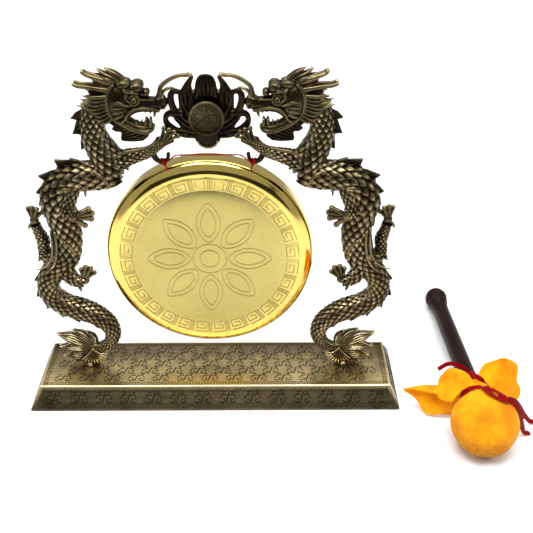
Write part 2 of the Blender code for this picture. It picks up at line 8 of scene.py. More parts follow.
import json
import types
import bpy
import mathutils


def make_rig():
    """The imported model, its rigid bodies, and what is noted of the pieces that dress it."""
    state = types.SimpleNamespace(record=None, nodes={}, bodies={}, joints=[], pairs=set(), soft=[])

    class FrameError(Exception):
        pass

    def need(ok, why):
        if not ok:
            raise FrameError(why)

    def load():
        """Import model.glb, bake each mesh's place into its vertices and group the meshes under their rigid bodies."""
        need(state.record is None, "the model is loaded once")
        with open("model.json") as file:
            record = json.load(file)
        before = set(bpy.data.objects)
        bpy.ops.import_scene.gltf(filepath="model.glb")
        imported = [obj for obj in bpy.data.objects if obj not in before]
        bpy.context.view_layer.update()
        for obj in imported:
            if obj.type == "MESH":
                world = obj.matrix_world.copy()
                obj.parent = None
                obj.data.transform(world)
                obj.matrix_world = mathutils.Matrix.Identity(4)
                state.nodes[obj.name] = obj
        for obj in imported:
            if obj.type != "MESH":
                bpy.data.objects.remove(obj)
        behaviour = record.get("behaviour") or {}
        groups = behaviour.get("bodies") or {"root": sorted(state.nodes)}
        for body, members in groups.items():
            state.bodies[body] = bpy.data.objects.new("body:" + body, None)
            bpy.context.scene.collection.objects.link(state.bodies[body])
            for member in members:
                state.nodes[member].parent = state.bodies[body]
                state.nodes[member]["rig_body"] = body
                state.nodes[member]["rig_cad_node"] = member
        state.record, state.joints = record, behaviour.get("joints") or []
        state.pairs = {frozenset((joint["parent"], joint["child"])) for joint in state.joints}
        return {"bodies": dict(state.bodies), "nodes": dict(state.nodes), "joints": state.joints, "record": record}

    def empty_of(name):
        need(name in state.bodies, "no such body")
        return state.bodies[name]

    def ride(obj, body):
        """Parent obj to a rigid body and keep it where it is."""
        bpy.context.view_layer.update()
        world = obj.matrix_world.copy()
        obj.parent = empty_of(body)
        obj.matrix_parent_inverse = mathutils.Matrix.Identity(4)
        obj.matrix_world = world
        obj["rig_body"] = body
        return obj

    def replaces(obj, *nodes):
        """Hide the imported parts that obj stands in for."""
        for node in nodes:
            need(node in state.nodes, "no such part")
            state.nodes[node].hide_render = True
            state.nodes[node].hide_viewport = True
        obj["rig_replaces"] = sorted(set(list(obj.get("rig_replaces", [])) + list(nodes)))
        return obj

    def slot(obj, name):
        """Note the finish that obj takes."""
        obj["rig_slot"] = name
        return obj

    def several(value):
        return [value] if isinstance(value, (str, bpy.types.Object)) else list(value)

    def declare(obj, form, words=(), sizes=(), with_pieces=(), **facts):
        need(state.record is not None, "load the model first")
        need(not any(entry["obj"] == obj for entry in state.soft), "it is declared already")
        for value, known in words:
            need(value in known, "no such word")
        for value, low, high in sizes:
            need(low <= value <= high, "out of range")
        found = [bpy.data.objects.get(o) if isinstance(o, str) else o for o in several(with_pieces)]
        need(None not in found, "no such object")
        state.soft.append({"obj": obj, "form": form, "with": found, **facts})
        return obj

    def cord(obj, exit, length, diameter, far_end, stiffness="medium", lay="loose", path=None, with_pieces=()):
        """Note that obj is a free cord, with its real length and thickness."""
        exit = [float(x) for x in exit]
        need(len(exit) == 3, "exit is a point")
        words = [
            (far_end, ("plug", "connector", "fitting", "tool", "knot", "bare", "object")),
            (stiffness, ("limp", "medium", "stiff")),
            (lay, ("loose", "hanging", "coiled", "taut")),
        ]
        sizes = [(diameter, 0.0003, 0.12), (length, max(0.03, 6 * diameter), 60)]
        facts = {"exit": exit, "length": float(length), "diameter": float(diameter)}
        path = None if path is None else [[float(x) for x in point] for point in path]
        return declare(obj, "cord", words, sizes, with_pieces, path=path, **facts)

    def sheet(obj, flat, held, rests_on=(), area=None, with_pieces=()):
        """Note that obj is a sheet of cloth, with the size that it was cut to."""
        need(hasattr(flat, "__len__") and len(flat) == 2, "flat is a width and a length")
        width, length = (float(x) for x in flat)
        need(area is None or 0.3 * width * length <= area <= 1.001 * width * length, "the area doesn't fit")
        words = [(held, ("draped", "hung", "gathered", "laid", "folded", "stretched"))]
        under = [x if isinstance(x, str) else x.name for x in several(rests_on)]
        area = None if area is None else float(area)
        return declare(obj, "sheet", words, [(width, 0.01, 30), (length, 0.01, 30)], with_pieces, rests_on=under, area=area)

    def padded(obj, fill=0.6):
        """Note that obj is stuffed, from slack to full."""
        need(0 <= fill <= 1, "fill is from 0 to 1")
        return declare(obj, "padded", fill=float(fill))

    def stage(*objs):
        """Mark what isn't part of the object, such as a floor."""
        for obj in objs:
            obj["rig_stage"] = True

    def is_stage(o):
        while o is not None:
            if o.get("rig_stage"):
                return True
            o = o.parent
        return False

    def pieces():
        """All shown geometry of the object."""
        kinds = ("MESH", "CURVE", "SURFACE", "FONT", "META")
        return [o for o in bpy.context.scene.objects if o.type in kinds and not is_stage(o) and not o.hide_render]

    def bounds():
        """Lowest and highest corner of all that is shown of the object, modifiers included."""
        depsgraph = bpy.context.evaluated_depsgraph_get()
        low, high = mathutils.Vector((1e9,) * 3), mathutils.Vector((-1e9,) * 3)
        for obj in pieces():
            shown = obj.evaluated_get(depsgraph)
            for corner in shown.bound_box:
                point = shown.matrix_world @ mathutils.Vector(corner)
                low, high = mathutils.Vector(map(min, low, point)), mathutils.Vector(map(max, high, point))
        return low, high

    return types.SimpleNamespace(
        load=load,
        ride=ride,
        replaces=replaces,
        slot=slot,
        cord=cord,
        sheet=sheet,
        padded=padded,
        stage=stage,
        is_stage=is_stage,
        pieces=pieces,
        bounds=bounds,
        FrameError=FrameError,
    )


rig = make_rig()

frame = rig.load()
cad_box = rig.bounds()

import json
import logging
import math
from collections.abc import Callable, Iterable, Sequence
from dataclasses import dataclass, field
from enum import Enum

import bmesh
import bpy
import numpy as np
from mathutils import Euler, Matrix, Vector

log = logging.getLogger("gong")

MM = 0.001
# On the velvet ball relief is painted shade; on the base cover, the scale crowns, the seat lip and the gong it also
# carries painted light: highlight, reflection and shade.
RELIEF = "relief"  # vertex attribute: 0 in a recess, 1 on a rubbed high point

Station = tuple[float, float, float, float]  # out, depth, height and radius
Point = tuple[float, float, float]
Outline = Sequence[tuple[float, float]]


class Side(Enum):
    """The two sides of the stand, seen from the gong's face."""

    LEFT = -1
    RIGHT = 1

    @property
    def prefix(self) -> str:
        """The side's word in piece names."""
        return self.name.lower()


class Body(Enum):
    """The parts that move on their own."""

    STAND = "stand"
    GONG = "gong"
    MALLET = "mallet"


def mm(x: float, y: float, z: float) -> Vector:
    """A point in metres from millimetres."""
    return Vector((x, y, z)) * MM


def smooth(stations: Sequence[Sequence[float]], step: float, closed: bool = False) -> list[tuple]:
    """Space stations evenly along a Catmull-Rom curve through the given ones.

    Args:
        stations: tuples whose first three values are a place.
        step: the spacing wanted, in millimetres.
        closed: whether the last station runs on to the first.

    Returns:
        The new stations, with every value interpolated.
    """
    count = len(stations)
    route = []
    for i in range(count if closed else count - 1):
        if closed:
            near = [stations[(i + k) % count] for k in (-1, 0, 1, 2)]
        else:
            near = [stations[min(max(i + k, 0), count - 1)] for k in (-1, 0, 1, 2)]
        parts = max(1, round(math.dist(near[1][:3], near[2][:3]) / step))
        for k in range(parts):
            t = k / parts
            route.append(tuple(
                b + 0.5 * t * (c - a + t * (2 * a - 5 * b + 4 * c - d + t * (3 * (b - c) + d - a)))
                for a, b, c, d in zip(*near)
            ))
    if not closed:
        route.append(tuple(stations[-1]))
    return route


def evaluated_mesh(obj: bpy.types.Object) -> bpy.types.Mesh:
    """Take an object's final mesh and remove the object."""
    bpy.context.view_layer.update()
    graph = bpy.context.evaluated_depsgraph_get()
    mesh = bpy.data.meshes.new_from_object(obj.evaluated_get(graph))
    bpy.data.objects.remove(obj, do_unlink=True)
    return mesh


def set_relief(mesh: bpy.types.Mesh, values: Iterable[float]) -> None:
    """Write the relief attribute, one value for each vertex."""
    layer = mesh.attributes.get(RELIEF) or mesh.attributes.new(RELIEF, "FLOAT", "POINT")
    layer.data.foreach_set("value", np.asarray(values, np.float32))


def mark_relief(mesh: bpy.types.Mesh, rounds: int = 8, depth: float = 0.5, dim: float = 0.0) -> None:
    """Set relief from how far each vertex stands above its smoothed surroundings.

    Args:
        mesh: an evenly meshed casting.
        rounds: how many smoothing rounds make the surroundings.
        depth: the height in millimetres that takes relief from a half to full.
        dim: what is taken off everywhere.
    """
    count = len(mesh.vertices)
    places = np.empty(count * 3)
    mesh.vertices.foreach_get("co", places)
    places = places.reshape(-1, 3)
    ends = np.empty(len(mesh.edges) * 2, np.int64)
    mesh.edges.foreach_get("vertices", ends)
    first, second = ends.reshape(-1, 2).T
    degree = np.maximum(np.bincount(ends, minlength=count), 1)
    around = places.copy()
    for _ in range(rounds):
        total = np.empty_like(around)
        for axis in range(3):
            total[:, axis] = np.bincount(first, around[second, axis], count)
            total[:, axis] += np.bincount(second, around[first, axis], count)
        around = total / degree[:, None]
    normals = np.empty(count * 3)
    mesh.vertex_normals.foreach_get("vector", normals)
    height = ((places - around) * normals.reshape(-1, 3)).sum(axis=1)
    set_relief(mesh, np.clip(0.5 - dim + height / (2 * depth * MM), 0, 1))


def tubes(strands: Sequence[tuple[Sequence[Sequence[float]], bool]], sides: int = 2) -> bpy.types.Mesh:
    """Make capped round tubes in one go.

    Args:
        strands: routes of places and radii in millimetres, each with whether it closes on itself.
        sides: bevel resolution, where 2 gives eight sides and 6 gives sixteen.

    Returns:
        The tubes' mesh with welded caps.
    """
    curve = bpy.data.curves.new("tubes", "CURVE")
    curve.dimensions = "3D"
    curve.bevel_depth = MM
    curve.bevel_resolution = sides
    curve.use_fill_caps = True
    for route, closed in strands:
        spline = curve.splines.new("POLY")
        spline.points.add(len(route) - 1)
        spline.use_cyclic_u = closed
        for point, (x, y, z, radius) in zip(spline.points, route):
            point.co = (*mm(x, y, z), 1)
            point.radius = radius
    holder = bpy.data.objects.new("tubes", curve)
    bpy.context.scene.collection.objects.link(holder)
    mesh = evaluated_mesh(holder)
    bpy.data.curves.remove(curve)
    mesh.materials.clear()
    bm = bmesh.new()
    bm.from_mesh(mesh)
    bmesh.ops.remove_doubles(bm, verts=bm.verts, dist=1e-7)
    bmesh.ops.recalc_face_normals(bm, faces=bm.faces)
    bm.to_mesh(mesh)
    bm.free()
    return mesh


def swept(stations: Sequence[Sequence[float]], side: Side = Side.RIGHT, step: float = 2.0,
          sides: int = 2, closed: bool = False) -> bpy.types.Mesh:
    """Sweep a round section through stations on one side of the stand, as tubes does."""
    route = [(side.value * x, y, z, radius) for x, y, z, radius in smooth(stations, step, closed)]
    return tubes([(route, closed)], sides)


class Clay:
    """Rough forms that are pressed together and smoothed into one casting."""

    def __init__(self, side: Side = Side.RIGHT) -> None:
        """Start an empty casting for one side of the stand."""
        self.side = side
        self.bm = bmesh.new()
        self.strands: list[tuple[list[Station], bool]] = []

    def _depths(self, depth: float, twins: bool) -> tuple[float, ...]:
        """The depths that a form is placed at: its own, and mirrored for twins."""
        return (depth, -depth) if twins else (depth,)

    def ball(self, at: Point, radii: Point, lean: float = 0.0, twins: bool = False) -> None:
        """Add an ellipsoid.

        Args:
            at: its centre: out, depth and height.
            radii: its three radii.
            lean: degrees that its outer end is tipped down.
            twins: whether a second one lies as far behind the middle plane.
        """
        for depth in self._depths(at[1], twins):
            place = Matrix.Translation(mm(self.side.value * at[0], depth, at[2]))
            turn = Matrix.Rotation(math.radians(lean * self.side.value), 4, "Y")
            size = Matrix.Diagonal((*mm(*radii), 1))
            bmesh.ops.create_icosphere(self.bm, subdivisions=3 if max(radii) > 3 else 2, radius=1,
                                       matrix=place @ turn @ size)

    def rope(self, stations: Sequence[Station], twins: bool = False, step: float = 1.2,
             closed: bool = False) -> None:
        """Add a tapering round strand through stations, optionally with its twin behind."""
        route = smooth(stations, step, closed)
        if not closed:  # round off both ends
            for at, inner in ((0, 1), (len(route) + 1, -2)):
                end, before = route[at and -1], route[inner]
                share = 0.6 * end[3] / max(0.1, math.dist(end[:3], before[:3]))
                beyond = tuple(a + (a - b) * share for a, b in zip(end[:3], before[:3]))
                route.insert(at, (*beyond, end[3] * 0.45))
        for mirror in (1, -1) if twins else (1,):
            self.strands.append(([(self.side.value * x, mirror * y, z, r) for x, y, z, r in route], closed))

    def ring(self, at: Point, radius: float, thickness: float, twins: bool = False) -> None:
        """Add an upright ring facing the front."""
        loop = [(at[0] + radius * math.cos(a), at[1], at[2] + radius * math.sin(a), thickness)
                for a in (math.tau * k / 12 for k in range(12))]
        self.rope(loop, twins, 0.8, closed=True)

    def slab(self, outline: Outline, thickness: float, depth: float = 0.0) -> None:
        """Add an upright plate with the given outline."""
        verts = [self.bm.verts.new(mm(self.side.value * x, depth - thickness / 2, z))
                 for x, z in outline]
        face = self.bm.faces.new(verts)
        made = bmesh.ops.extrude_face_region(self.bm, geom=[face])["geom"]
        top = [item for item in made if isinstance(item, bmesh.types.BMVert)]
        bmesh.ops.translate(self.bm, verts=top, vec=mm(0, thickness, 0))
        faces = {face for vert in verts + top for face in vert.link_faces}
        bmesh.ops.recalc_face_normals(self.bm, faces=list(faces))

    def leaf(self, outline: Outline, ribs: Sequence[Outline], thickness: float = 2.4, rib: float = 0.6) -> None:
        """Add an upright plate with ribs that taper to the edge on both of its faces."""
        self.slab(outline, thickness)
        for route in ribs:
            last = len(route) - 1
            self.rope([(x, thickness / 2 - 0.1, z, rib * (1 - 0.5 * i / last)) for i, (x, z) in enumerate(route)],
                      twins=True)

    def cast(self, voxel: float = 0.45, rounds: int = 2, depth: float = 0.55, dim: float = 0.0) -> bpy.types.Mesh:
        """Press the forms together into one even mesh and mark its relief.

        Args:
            voxel: the mesh size in millimetres.
            rounds: smoothing rounds.
            depth: the relief's scale, as in mark_relief.
            dim: how much less rubbed the casting is than the others.

        Returns:
            The casting's mesh.
        """
        if self.strands:
            ropes = tubes(self.strands)
            self.bm.from_mesh(ropes)
            bpy.data.meshes.remove(ropes)
        rough = bpy.data.meshes.new("clay")
        self.bm.to_mesh(rough)
        self.bm.free()
        holder = bpy.data.objects.new("clay", rough)
        bpy.context.scene.collection.objects.link(holder)
        press = holder.modifiers.new("Press", "REMESH")
        press.mode = "VOXEL"
        press.voxel_size = voxel * MM
        tumble = holder.modifiers.new("Tumble", "SMOOTH")
        tumble.factor = 0.5
        tumble.iterations = rounds
        mesh = evaluated_mesh(holder)
        bpy.data.meshes.remove(rough)
        mark_relief(mesh, depth=depth, dim=dim)
        return mesh


# --- Materials ----------------------------------------------------------------


class Sheet:
    """A node tree being wired up."""

    def __init__(self, tree: bpy.types.NodeTree) -> None:
        """Work on the given tree."""
        self.tree = tree

    def node(self, kind: str, inputs: dict | None = None, **settings: object) -> bpy.types.Node:
        """Add a node, set its properties, and set or link its inputs."""
        made = self.tree.nodes.new(kind)
        for name, value in settings.items():
            setattr(made, name, value)
        for name, value in (inputs or {}).items():
            socket = made.inputs[name]
            if isinstance(value, bpy.types.NodeSocket):
                self.tree.links.new(value, socket)
            else:
                socket.default_value = value
        return made

    def ramp(self, factor: bpy.types.NodeSocket, stops: Sequence[tuple]) -> bpy.types.NodeSocket:
        """Turn a value into a colour through stops of position and colour."""
        made = self.node("ShaderNodeValToRGB", {"Fac": factor})
        elements = made.color_ramp.elements
        while len(elements) < len(stops):
            elements.new(0.5)
        for element, (position, colour) in zip(elements, stops):
            element.position = position
            element.color = (*colour, 1)
        return made.outputs["Color"]

    def spread(self, value: bpy.types.NodeSocket, low: float, high: float,
               start: float = 0.0, end: float = 1.0) -> bpy.types.NodeSocket:
        """Map a value from start..end onto low..high."""
        made = self.node("ShaderNodeMapRange", {
            "Value": value, "From Min": start, "From Max": end, "To Min": low, "To Max": high})
        return made.outputs["Result"]

    def noise(self, scale: float, detail: float = 3.0, rough: float = 0.55,
              stretch: Point | None = None) -> bpy.types.NodeSocket:
        """Noise on Object coordinates, with an optional stretch of its axes."""
        place = self.node("ShaderNodeTexCoord").outputs["Object"]
        if stretch:
            place = self.node("ShaderNodeMapping", {"Vector": place, "Scale": stretch}).outputs[0]
        made = self.node("ShaderNodeTexNoise", {
            "Vector": place, "Scale": scale, "Detail": detail, "Roughness": rough})
        return made.outputs["Fac"]

    def math(self, operation: str, first: object, second: object) -> bpy.types.NodeSocket:
        """Combine two values."""
        return self.node("ShaderNodeMath", {0: first, 1: second}, operation=operation).outputs[0]

    def bump(self, height: bpy.types.NodeSocket, strength: float, distance: float) -> bpy.types.NodeSocket:
        """Turn a height into a normal; distance is in millimetres."""
        made = self.node("ShaderNodeBump", {
            "Height": height, "Strength": strength, "Distance": distance * MM})
        return made.outputs["Normal"]


def new_group(name: str, inputs: dict[str, float], outputs: dict[str, str]) -> tuple[Sheet, object, object]:
    """Start a shader node group.

    Args:
        name: the group's name.
        inputs: value inputs with their defaults.
        outputs: output names with their socket types.

    Returns:
        The sheet, and the group's input and output nodes.
    """
    tree = bpy.data.node_groups.new(name, "ShaderNodeTree")
    for label, value in inputs.items():
        socket = tree.interface.new_socket(label, in_out="INPUT", socket_type="NodeSocketFloat")
        socket.default_value = value
    for label, kind in outputs.items():
        tree.interface.new_socket(label, in_out="OUTPUT", socket_type=kind)
    sheet = Sheet(tree)
    return sheet, sheet.node("NodeGroupInput"), sheet.node("NodeGroupOutput")


def make_wear_group() -> bpy.types.NodeTree:
    """Relief, roughened by patches and speckle: 0 where polish never reaches, 1 where rubbed; on pieces whose relief
    carries painted light, the mask carries it too.
    """
    sheet, given, result = new_group(
        "rubbed_relief", {"Patches": 0.25, "Speckle": 0.15, "Bias": 0.0}, {"Mask": "NodeSocketFloat"})
    relief = sheet.node("ShaderNodeAttribute", attribute_name=RELIEF).outputs["Fac"]
    patches = sheet.math("SUBTRACT", sheet.noise(70.0, 2.0), 0.5)
    speckle = sheet.math("SUBTRACT", sheet.noise(900.0, 2.0), 0.5)
    total = sheet.math("ADD", relief, sheet.math("MULTIPLY", patches, given.outputs["Patches"]))
    total = sheet.math("ADD", total, sheet.math("MULTIPLY", speckle, given.outputs["Speckle"]))
    total = sheet.math("ADD", total, given.outputs["Bias"])
    clamped = sheet.node("ShaderNodeClamp", {"Value": total}).outputs[0]
    sheet.tree.links.new(clamped, result.inputs["Mask"])
    return sheet.tree


def make_grain_group() -> bpy.types.NodeTree:
    """Two sizes of noise as one height, for cast skins, pile and felt."""
    sheet, given, result = new_group(
        "fine_grain", {"Scale": 800.0, "Coarse": 0.5}, {"Height": "NodeSocketFloat"})
    place = sheet.node("ShaderNodeTexCoord").outputs["Object"]
    heights = []
    for share in (1.0, 0.23):
        scale = sheet.math("MULTIPLY", given.outputs["Scale"], share)
        heights.append(sheet.node("ShaderNodeTexNoise", {
            "Vector": place, "Scale": scale, "Detail": 2.0}).outputs["Fac"])
    coarse = sheet.math("MULTIPLY", heights[1], given.outputs["Coarse"])
    sheet.tree.links.new(sheet.math("ADD", heights[0], coarse), result.inputs["Height"])
    return sheet.tree


class Groups:
    """The node groups that several finishes share, built once."""

    wear: bpy.types.NodeTree
    grain: bpy.types.NodeTree

    @classmethod
    def build(cls) -> None:
        """Make every group."""
        cls.wear = make_wear_group()
        cls.grain = make_grain_group()


@dataclass(frozen=True)
class Finish:
    """A surface finish. Values that don't change over the surface sit here."""

    slot: str
    metallic: float = 0.0
    coat: float = 0.0
    coat_roughness: float = 0.1
    sheen: float = 0.0
    sheen_roughness: float = 0.4
    sheen_tint: Point = (1.0, 1.0, 1.0)
    specular: float = 0.5

    def paint(self, sheet: Sheet, shader: bpy.types.Node) -> None:
        """Wire the changing colour, roughness and bump. Each finish has its own."""
        raise NotImplementedError

    def material(self) -> bpy.types.Material:
        """Build the material."""
        made = bpy.data.materials.new(self.slot)
        made.use_nodes = True
        sheet = Sheet(made.node_tree)
        shader = made.node_tree.nodes["Principled BSDF"]
        shader.inputs["Metallic"].default_value = self.metallic
        shader.inputs["Coat Weight"].default_value = self.coat
        shader.inputs["Coat Roughness"].default_value = self.coat_roughness
        shader.inputs["Sheen Weight"].default_value = self.sheen
        shader.inputs["Sheen Roughness"].default_value = self.sheen_roughness
        shader.inputs["Sheen Tint"].default_value = (*self.sheen_tint, 1)
        shader.inputs["Specular IOR Level"].default_value = self.specular
        self.paint(sheet, shader)
        return made

    def grain(self, sheet: Sheet, scale: float, coarse: float = 0.5) -> bpy.types.NodeSocket:
        """The fine grain group's height."""
        made = sheet.node("ShaderNodeGroup", node_tree=Groups.grain)
        made.inputs["Scale"].default_value = scale
        made.inputs["Coarse"].default_value = coarse
        return made.outputs["Height"]

    def rubbed(self, sheet: Sheet, patches: float, speckle: float, bias: float) -> bpy.types.NodeSocket:
        """The rubbed and lit relief group's mask, with the painted light that some pieces' relief carries."""
        made = sheet.node("ShaderNodeGroup", node_tree=Groups.wear)
        made.inputs["Patches"].default_value = patches
        made.inputs["Speckle"].default_value = speckle
        made.inputs["Bias"].default_value = bias
        return made.outputs["Mask"]


@dataclass(frozen=True)
class AntiqueMetal(Finish):
    """Metal that is blackened in its recesses and rubbed bright on its high points."""

    metallic: float = 1.0
    recess: Point = (0.005, 0.004, 0.003)
    middle: Point = (0.028, 0.021, 0.011)
    raised: Point = (0.18, 0.138, 0.068)
    bright: Point = (0.86, 0.74, 0.47)
    patches: float = 0.3
    speckle: float = 0.2
    bias: float = 0.0
    streaks: float = 0.0
    rough: tuple[float, float] = (0.42, 0.26)

    def paint(self, sheet: Sheet, shader: bpy.types.Node) -> None:
        """Colour and roughness follow the rubbed relief."""
        links = sheet.tree.links
        mask = self.rubbed(sheet, self.patches, self.speckle, self.bias)
        brushed = sheet.math("SUBTRACT", sheet.noise(1500.0, 3.0, 0.6, (0.05, 1.0, 1.0)), 0.5)
        mask = sheet.math("ADD", mask, sheet.math("MULTIPLY", brushed, self.streaks))
        colour = sheet.ramp(mask, [(0.25, self.recess), (0.54, self.middle),
                                   (0.78, self.raised), (0.98, self.bright)])
        links.new(colour, shader.inputs["Base Color"])
        links.new(sheet.spread(mask, *self.rough), shader.inputs["Roughness"])
        bump = sheet.bump(self.grain(sheet, 700.0, 1.2), 0.25, 0.12)
        links.new(bump, shader.inputs["Normal"])


@dataclass(frozen=True)
class PolishedBrass(Finish):
    """Polished brass with a satin centre where relief is low."""

    metallic: float = 1.0
    tarnish: Point = (0.24, 0.18, 0.045)
    satin: Point = (0.49, 0.41, 0.14)
    # mirror: polished brass, made brighter and more golden by a painted reflection
    mirror: Point = (0.82, 0.62, 0.17)
    rough: tuple[float, float] = (0.32, 0.10)

    def paint(self, sheet: Sheet, shader: bpy.types.Node) -> None:
        """Satin to mirror by relief, the mirror colour partly a painted reflection, with faint tarnish clouds."""
        links = sheet.tree.links
        relief = sheet.node("ShaderNodeAttribute", attribute_name=RELIEF).outputs["Fac"]
        base = sheet.ramp(relief, [(0.0, self.tarnish), (0.2, self.satin), (1.0, self.mirror)])
        cloud = sheet.ramp(sheet.noise(22.0, 4.0), [(0.3, (0.84, 0.82, 0.78)), (0.7, (1.0, 1.0, 1.0))])
        colour = sheet.node("ShaderNodeMix", {6: base, 7: cloud, 0: 1.0}, data_type="RGBA",
                            blend_type="MULTIPLY").outputs[2]
        links.new(colour, shader.inputs["Base Color"])
        scuff = sheet.spread(sheet.noise(55.0, 5.0), -0.04, 0.05, 0.3, 0.7)
        rough = sheet.math("ADD", sheet.spread(relief, *self.rough), scuff)
        links.new(rough, shader.inputs["Roughness"])
        links.new(sheet.bump(sheet.noise(40.0, 2.0), 0.05, 0.3), shader.inputs["Normal"])


@dataclass(frozen=True)
class Velvet(Finish):
    """Short-pile velvet with brushed patches."""

    sheen: float = 0.22
    sheen_roughness: float = 0.4
    sheen_tint: Point = (1.0, 0.75, 0.12)
    specular: float = 0.2
    deep: Point = (0.78, 0.20, 0.0)
    light: Point = (1.0, 0.42, 0.002)
    # painted shade: the colour that the ball darkens to towards its bottom
    soiled: Point = (0.34, 0.105, 0.002)

    def paint(self, sheet: Sheet, shader: bpy.types.Node) -> None:
        """Pile colour varies with brushed patches and fine fibres, and is darkened low down by painted shade, broken by
        flecks.
        """
        links = sheet.tree.links
        brushed = sheet.noise(60.0, 5.0, 0.6)
        pile = sheet.noise(1800.0, 2.0)
        mix = sheet.math("ADD", brushed, sheet.math("MULTIPLY", sheet.math("SUBTRACT", pile, 0.5), 0.35))
        clean = sheet.ramp(mix, [(0.3, self.deep), (0.62, self.light)])
        # Painted shade: relief on the ball grows towards its bottom, and the pile darkens to the shade colour by it,
        # broken by flecks.
        painted_shade_share = sheet.node("ShaderNodeAttribute", attribute_name=RELIEF).outputs["Fac"]
        flecks = sheet.math("MULTIPLY", sheet.math("SUBTRACT", sheet.noise(420.0, 3.0, 0.7), 0.52), 2.6)
        low = sheet.spread(painted_shade_share, 0.0, 0.85)
        amount = sheet.node("ShaderNodeClamp", {"Value": sheet.math(
            "MULTIPLY", low, sheet.math("SUBTRACT", 1.0, flecks))}).outputs[0]
        colour = sheet.node("ShaderNodeMix", {6: clean, 7: (*self.soiled, 1), 0: amount},
                            data_type="RGBA").outputs[2]
        links.new(colour, shader.inputs["Base Color"])
        links.new(sheet.spread(pile, 0.75, 0.95), shader.inputs["Roughness"])
        links.new(sheet.bump(self.grain(sheet, 1500.0, 0.8), 0.6, 0.35), shader.inputs["Normal"])


@dataclass(frozen=True)
class Thread(Finish):
    """Dyed fibre: cord, satin ribbon or felt."""

    sheen: float = 0.3
    deep: Point = (0.10, 0.0, 0.0)
    light: Point = (0.45, 0.012, 0.012)
    rough: tuple[float, float] = (0.6, 0.8)
    fibre: float = 1500.0
    stretch: Point = (1.0, 1.0, 1.0)

    def paint(self, sheet: Sheet, shader: bpy.types.Node) -> None:
        """Fine fibres vary colour, roughness and bump."""
        links = sheet.tree.links
        fibre = sheet.noise(self.fibre, 3.0, 0.6, self.stretch)
        links.new(sheet.ramp(fibre, [(0.3, self.deep), (0.7, self.light)]), shader.inputs["Base Color"])
        links.new(sheet.spread(fibre, *self.rough), shader.inputs["Roughness"])
        links.new(sheet.bump(fibre, 0.4, 0.15), shader.inputs["Normal"])


@dataclass(frozen=True)
class LacqueredWood(Finish):
    """Dark wood under gloss lacquer, its grain along the handle."""

    coat: float = 0.04
    coat_roughness: float = 0.2
    specular: float = 0.1
    dark: Point = (0.006, 0.0016, 0.001)
    light: Point = (0.018, 0.004, 0.0026)

    def paint(self, sheet: Sheet, shader: bpy.types.Node) -> None:
        """Long grain streaks under the lacquer."""
        links = sheet.tree.links
        streaks = sheet.noise(260.0, 4.0, 0.6, (1.0, 0.08, 1.0))
        links.new(sheet.ramp(streaks, [(0.35, self.dark), (0.7, self.light)]), shader.inputs["Base Color"])
        links.new(sheet.spread(streaks, 0.36, 0.5), shader.inputs["Roughness"])
        links.new(sheet.bump(streaks, 0.12, 0.1), shader.inputs["Normal"])


@dataclass(frozen=True)
class PlainSolid(Finish):
    """Board, felt or plated steel, with a fine grain in its own colour."""

    colour: Point = (0.3, 0.3, 0.3)
    rough: tuple[float, float] = (0.6, 0.8)
    scale: float = 900.0

    def paint(self, sheet: Sheet, shader: bpy.types.Node) -> None:
        """Grain shades the colour slightly."""
        links = sheet.tree.links
        grain = self.grain(sheet, self.scale)
        dark = tuple(0.6 * value for value in self.colour)
        links.new(sheet.ramp(grain, [(0.4, dark), (1.0, self.colour)]), shader.inputs["Base Color"])
        links.new(sheet.spread(grain, *self.rough), shader.inputs["Roughness"])
        links.new(sheet.bump(grain, 0.3, 0.1), shader.inputs["Normal"])


FINISHES = (
    AntiqueMetal("antique_bronze"),
    # stamped_brass: through the base cover's relief, its ramp also gives the cover's painted reflection, painted shade
    # and painted edge highlight.
    AntiqueMetal("stamped_brass", recess=(0.020, 0.016, 0.009), middle=(0.24, 0.19, 0.095),
                 raised=(0.78, 0.60, 0.28), bright=(0.86, 0.74, 0.46), patches=0.26, speckle=0.22,
                 streaks=0.22, rough=(0.5, 0.28)),
    PolishedBrass("polished_brass"),
    Velvet("yellow_velvet"),
    Thread("red_cord", sheen=0.0, specular=0.1, deep=(0.06, 0.0, 0.0), light=(0.38, 0.008, 0.008)),
    Thread("red_ribbon", sheen=0.0, specular=0.06, deep=(0.09, 0.0, 0.001), light=(0.34, 0.001, 0.005),
           rough=(0.45, 0.6), stretch=(1.0, 1.0, 0.15)),
    LacqueredWood("dark_wood"),
    PlainSolid("fibreboard", colour=(0.35, 0.24, 0.14)),
    PlainSolid("black_felt", colour=(0.03, 0.03, 0.032), rough=(0.9, 1.0), sheen=0.4),
    PlainSolid("zinc_steel", metallic=1.0, colour=(0.62, 0.62, 0.60), rough=(0.3, 0.45)),
)


